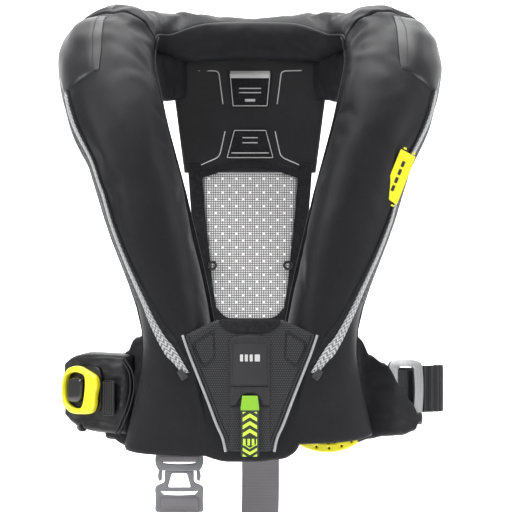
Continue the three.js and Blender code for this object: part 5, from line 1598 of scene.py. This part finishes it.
female = cut_plate("buckle_female_half", [female_outline, window, crescent(0.043, -0.0445, 0.0034, 0.0014)],
                   -0.0052, 0.0052, 0.0012,
                   on_buckle, grey_plastic, 3)
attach(female, "crutch_lower")
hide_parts("crutch_buckle_female")
for side, sign in (("left", -1), ("right", 1)):
    prong_line = [(sign * 0.0196, -0.0190), (sign * 0.0236, -0.0190), (sign * 0.0250, -0.0262),
                  (sign * 0.0232, -0.0318), (sign * 0.0200, -0.0300)]
    prong = cut_plate(f"buckle_{side}_side_prong", [rounded_outline(prong_line, 0.0012, 3)], -0.0024,
                      0.0024, 0.0008, on_buckle, grey_plastic)
    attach(prong, f"{side}_prong")
    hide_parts(f"crutch_buckle_{side}_prong")

# ---- Crutch strap ---------------------------------------------------------------------------------
# Grey 44 mm webbing hangs from the front hem through the buckle, passes between the legs and is
# sewn to the back belt. It hangs free of everything in between.
grey_web = web_finish("grey_webbing", (0.118, 0.113, 0.122), (0.165, 0.157, 0.168), 3600.0, 0.65, 0.6)
side_way = Vector((1, 0, 0))
WRAP = 0.0055 + 0.0011 + 0.00115


def web_line(points, steps):
    return [(smooth_through([Vector(p) for p in points], k / steps), side_way) for k in range(steps + 1)]


buckle_spot = lambda y, z, x=-0.081: (x, BUCKLE_Y + y, z)
slot_z = BUCKLE_TOP - 0.0080
loop_places = web_line([buckle_spot(-WRAP + 0.002, BUCKLE_TOP + 0.014), buckle_spot(-WRAP, BUCKLE_TOP),
                        buckle_spot(-WRAP - 0.0004, slot_z + 0.0030),
                        buckle_spot(-WRAP + 0.0034, slot_z), buckle_spot(WRAP - 0.0034, slot_z),
                        buckle_spot(WRAP - 0.001, slot_z + 0.0014),
                        buckle_spot(WRAP, BUCKLE_TOP), buckle_spot(WRAP - 0.002, BUCKLE_TOP + 0.014)], 60)
loop = strap("crutch_loop", loop_places, 0.044, 0.0021, grey_web)
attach(loop, "jacket")
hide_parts("crutch_front_loop")

turned_roll = []
for k in range(33):
    angle = math.pi * k / 32
    turned_roll.append((Vector(buckle_spot(-0.0040 - 0.0062 * math.sin(angle),
                                           BUCKLE_TOP - 0.0578 + 0.0078 * math.cos(angle))), side_way))
turned = strap("buckle_web_roll", turned_roll, 0.0430, 0.0018, grey_web)
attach(turned, "crutch_lower")
low_slot, foot_z = BUCKLE_TOP - 0.0600, BUCKLE_TOP - 0.0680
front_points = [buckle_spot(WRAP + 0.0004, foot_z - 0.022), buckle_spot(WRAP, foot_z),
                buckle_spot(WRAP - 0.001, low_slot - 0.0014),
                buckle_spot(WRAP - 0.0034, low_slot), buckle_spot(-WRAP + 0.0034, low_slot),
                buckle_spot(-WRAP + 0.001, low_slot - 0.0014),
                buckle_spot(-WRAP, foot_z), buckle_spot(-WRAP + 0.001, foot_z - 0.022),
                buckle_spot(0.006, foot_z - 0.062, -0.077),
                (-0.0565, -0.072, -0.632), (-0.0435, -0.032, -0.647), (-0.0345, -0.00015, -0.650)]
front_places = web_line(front_points, 140)
front_strap = strap("crutch_front_strap", front_places, 0.044, 0.0021, grey_web)
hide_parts("crutch_strap_front")
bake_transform(front_strap)
back_places = web_line([(-0.0345, 0.00015, -0.650), (-0.0265, 0.020, -0.649), (-0.0085, 0.062, -0.630),
                        (0.009, 0.096, -0.588),
                        (0.012, 0.1103, -0.530), (0.012, 0.1122, -0.414), (0.012, 0.1122, -0.372)], 110)
back_strap = strap("crutch_back_strap", back_places, 0.044, 0.0021, grey_web)
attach(back_strap, "jacket")
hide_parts("crutch_strap_back")


# ---- Pull handle ----------------------------------------------------------------------------------
# A curved yellow handle with small holes hangs under the right lobe. Its cord goes up to the
# firing lever, so one sharp pull fires the cylinder.
handle_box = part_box("pull_handle")
HANDLE_Y = (handle_box[0][1] + handle_box[1][1]) / 2
arc = lambda t: (Vector((-0.030, 0)) * (1 - t) ** 2 + Vector((0.002, -0.016)) * 2 * t * (1 - t)
                 + Vector((0.030, 0.002)) * t * t)


def along_arc(t, offset):
    way = (arc(min(t + 0.01, 1)) - arc(max(t - 0.01, 0))).normalized()
    spot = arc(t) + Vector((-way.y, way.x)) * offset
    return (spot.x, spot.y)


handle_rim = [along_arc(k / 24, 0.0052 + 0.0006 * math.cos(k * 1.9)) for k in range(25)]
handle_rim += [along_arc(1, 0.0052 * math.cos(math.pi * k / 6)) for k in range(1, 6)]
handle_rim += [along_arc(1 - k / 24, -0.0052) for k in range(25)]
handle_rim += [along_arc(0, -0.0052 * math.cos(math.pi * k / 6)) for k in range(1, 6)]


def swell_ends(outline):
    fixed = []
    for k, (x, y) in enumerate(outline):
        t_end = 1 if 25 <= k < 30 else -1 if k >= 55 else 0
        bulge = 0.0032 * math.sin(math.pi * ((k - 24) / 6 if t_end == 1 else (k - 54) / 6)) if t_end else 0
        fixed.append((x + t_end * bulge, y))
    return fixed


hole = lambda t, r=0.0013: [(along_arc(t, 0)[0] + r * math.cos(a), along_arc(t, 0)[1] + r * math.sin(a))
                            for a in (math.tau * k / 14 for k in range(14))]
on_handle = lambda x, y, z: Vector((0.090 + x, HANDLE_Y - z, -0.450 + y))
finger_holes = [hole(t) for t in (0.04, 0.26, 0.50, 0.74, 0.94)]
handle = cut_plate("pull_grip", [swell_ends(handle_rim), *finger_holes], -0.0036, 0.0036, 0.0016,
                   on_handle, yellow_plastic, 3)
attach(handle, "handle")
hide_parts("pull_handle")
backing_places = []
for k in range(25):
    x, y = along_arc(k / 24, 0.0022)
    way = (arc(min(k / 24 + 0.01, 1)) - arc(max(k / 24 - 0.01, 0))).normalized()
    backing_places.append((on_handle(x, y, -0.0048), Vector((-way.y, 0, way.x))))
backing = strap("pull_grip_webbing", backing_places, 0.0150, 0.0014, webbing)
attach(backing, "handle")
lanyard_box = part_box("pull_lanyard")
lanyard_x = (lanyard_box[0][0] + lanyard_box[1][0]) / 2
lanyard_foot = Vector((lanyard_x, HANDLE_Y, lanyard_box[0][2]))
lanyard_top = Vector((lanyard_x, HANDLE_Y, lanyard_foot.z + 0.6 * (lanyard_box[1][2] - lanyard_foot.z)))
lanyard_course = [lanyard_top.lerp(lanyard_foot, k / 12) for k in range(13)]
lanyard = round_tube("pull_cord", lanyard_course, 0.0015, webbing)
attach(lanyard, "handle")
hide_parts("pull_lanyard")

# ---- Yellow tag -----------------------------------------------------------------------------------
# A bright woven label is stitched over the right zip. Short bars stand in for its print.
yellow_cloth = cloth_finish("yellow_label", (0.86, 0.80, 0.012), 0.6, 1300, 0.0, 0.05, 0.25, 0.0, 0.3)
tag_spot = Place(1 - share_at(-0.141))
tag_middle = on_cover(covers["right"], tag_spot, 1.02, 0.0036)
tag_out = (tag_middle - on_cover(covers["right"], tag_spot, 1.02, -0.003)).normalized()
tag_out = (tag_out + Vector((-0.10, -0.90, 0))).normalized()
tag_up = Vector((0.42, 0.0, 0.91))
tag_up = (tag_up - tag_out * tag_up.dot(tag_out)).normalized()
tag_across = -tag_up.cross(tag_out).normalized()
on_tag = lambda x, y, z: tag_middle + tag_across * x + tag_up * y + tag_out * z
tag_outline = rounded_outline([(-0.0105, -0.030), (0.0105, -0.026), (0.0105, 0.031), (-0.0095, 0.030)],
                              0.0015, 3)
tag = cut_plate("woven_tag", [tag_outline], 0.0, 0.0013, 0.0004, on_tag, yellow_cloth)
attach(tag, "jacket")
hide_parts("yellow_tag")
for number, (x, y, long) in enumerate([(0.0015, 0.016, 0.007), (0.0015, 0.006, 0.007),
                                       (0.0015, -0.004, 0.007), (0.0015, -0.014, 0.007)]):
    mark = cut_plate(f"tag_bar_{number}", [rounded_box(0.0038, long, 0.001, x, y, 2)], 0.0012, 0.0016,
                     0.0001, on_tag, black_thread)
    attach(mark, "jacket")
stitch_ends = [(0.006, 0.0335), (0.004, -0.0285), (-0.006, 0.0325), (-0.006, -0.0325)]
for number, (x, y) in enumerate(stitch_ends):
    knot = cut_plate(f"tag_stitch_{number}", [rounded_box(0.0040, 0.0022, 0.0008, x, y, 2)], 0.0, 0.0012,
                     0.0005, on_tag, yellow_cloth)
    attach(knot, "jacket")

blackened = moulded("blackened_steel", (0.020, 0.020, 0.022), 0.35, 0.006)

# ---- Zip sliders ----------------------------------------------------------------------------------
# Each zip's steel slider is parked at the foot of its run, with a short pull plate on it.
for side in ("left", "right"):
    low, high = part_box(f"{side}_zip_slider")
    centre = Vector([(a + b) / 2 for a, b in zip(low, high)])
    sign = -1 if side == "left" else 1
    slide_up = Vector((sign * 0.5615, -0.0311, 0.8269))
    slide_out = Vector((sign * 0.0212, -0.9984, -0.0520))
    slide_side = slide_up.cross(slide_out)
    on_slider = lambda x, y, z: centre + slide_side * x + slide_up * y + slide_out * (z + 0.0012)
    body = cut_plate(f"{side}_slider_body", [rounded_outline([(-0.0043, -0.006), (0.0043, -0.006),
            (0.0034, 0.0062), (-0.0034, 0.0062)],
                     0.0018, 4)], -0.0018, 0.0014, 0.0008, on_slider, blackened, 3)
    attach(body, f"{side}_slider")
    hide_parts(f"{side}_zip_slider")
    pull = cut_plate(f"{side}_slider_pull", [rounded_box(0.0046, 0.0075, 0.0012, 0, -0.0015, 3),
                                             rounded_box(0.0018, 0.0030, 0.0006, 0, -0.003, 3)],
                     0.0016, 0.0024, 0.0003, on_slider, blackened)
    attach(pull, f"{side}_slider")

# ---- Gear inside the lobes ------------------------------------------------------------------------
# Under the covers are the folded yellow bladder, the inflator with its gas cylinder, the mouth
# tube, a whistle and a light. They show only when the covers are taken off.
bladder_cloth = cloth_finish("bladder_cloth", (0.62, 0.55, 0.03), 0.45, 1300, 0.05, 0.0, 0.2, 0.2, 0.4)
inside = {
    "air_bladder": bladder_cloth, "inflator_body": black_plastic, "oral_tube": black_plastic,
    "release_carrier": black_plastic,
    "inflator_cap": yellow_plastic, "firing_lever": yellow_plastic, "oral_tube_cap": yellow_plastic,
    "whistle": yellow_plastic,
    "light_unit": yellow_plastic, "co2_cylinder": steel, "tether_loop": lining_cloth,
}
for node, finish in inside.items():
    for held in bpy.data.objects[node].material_slots:
        held.material = finish
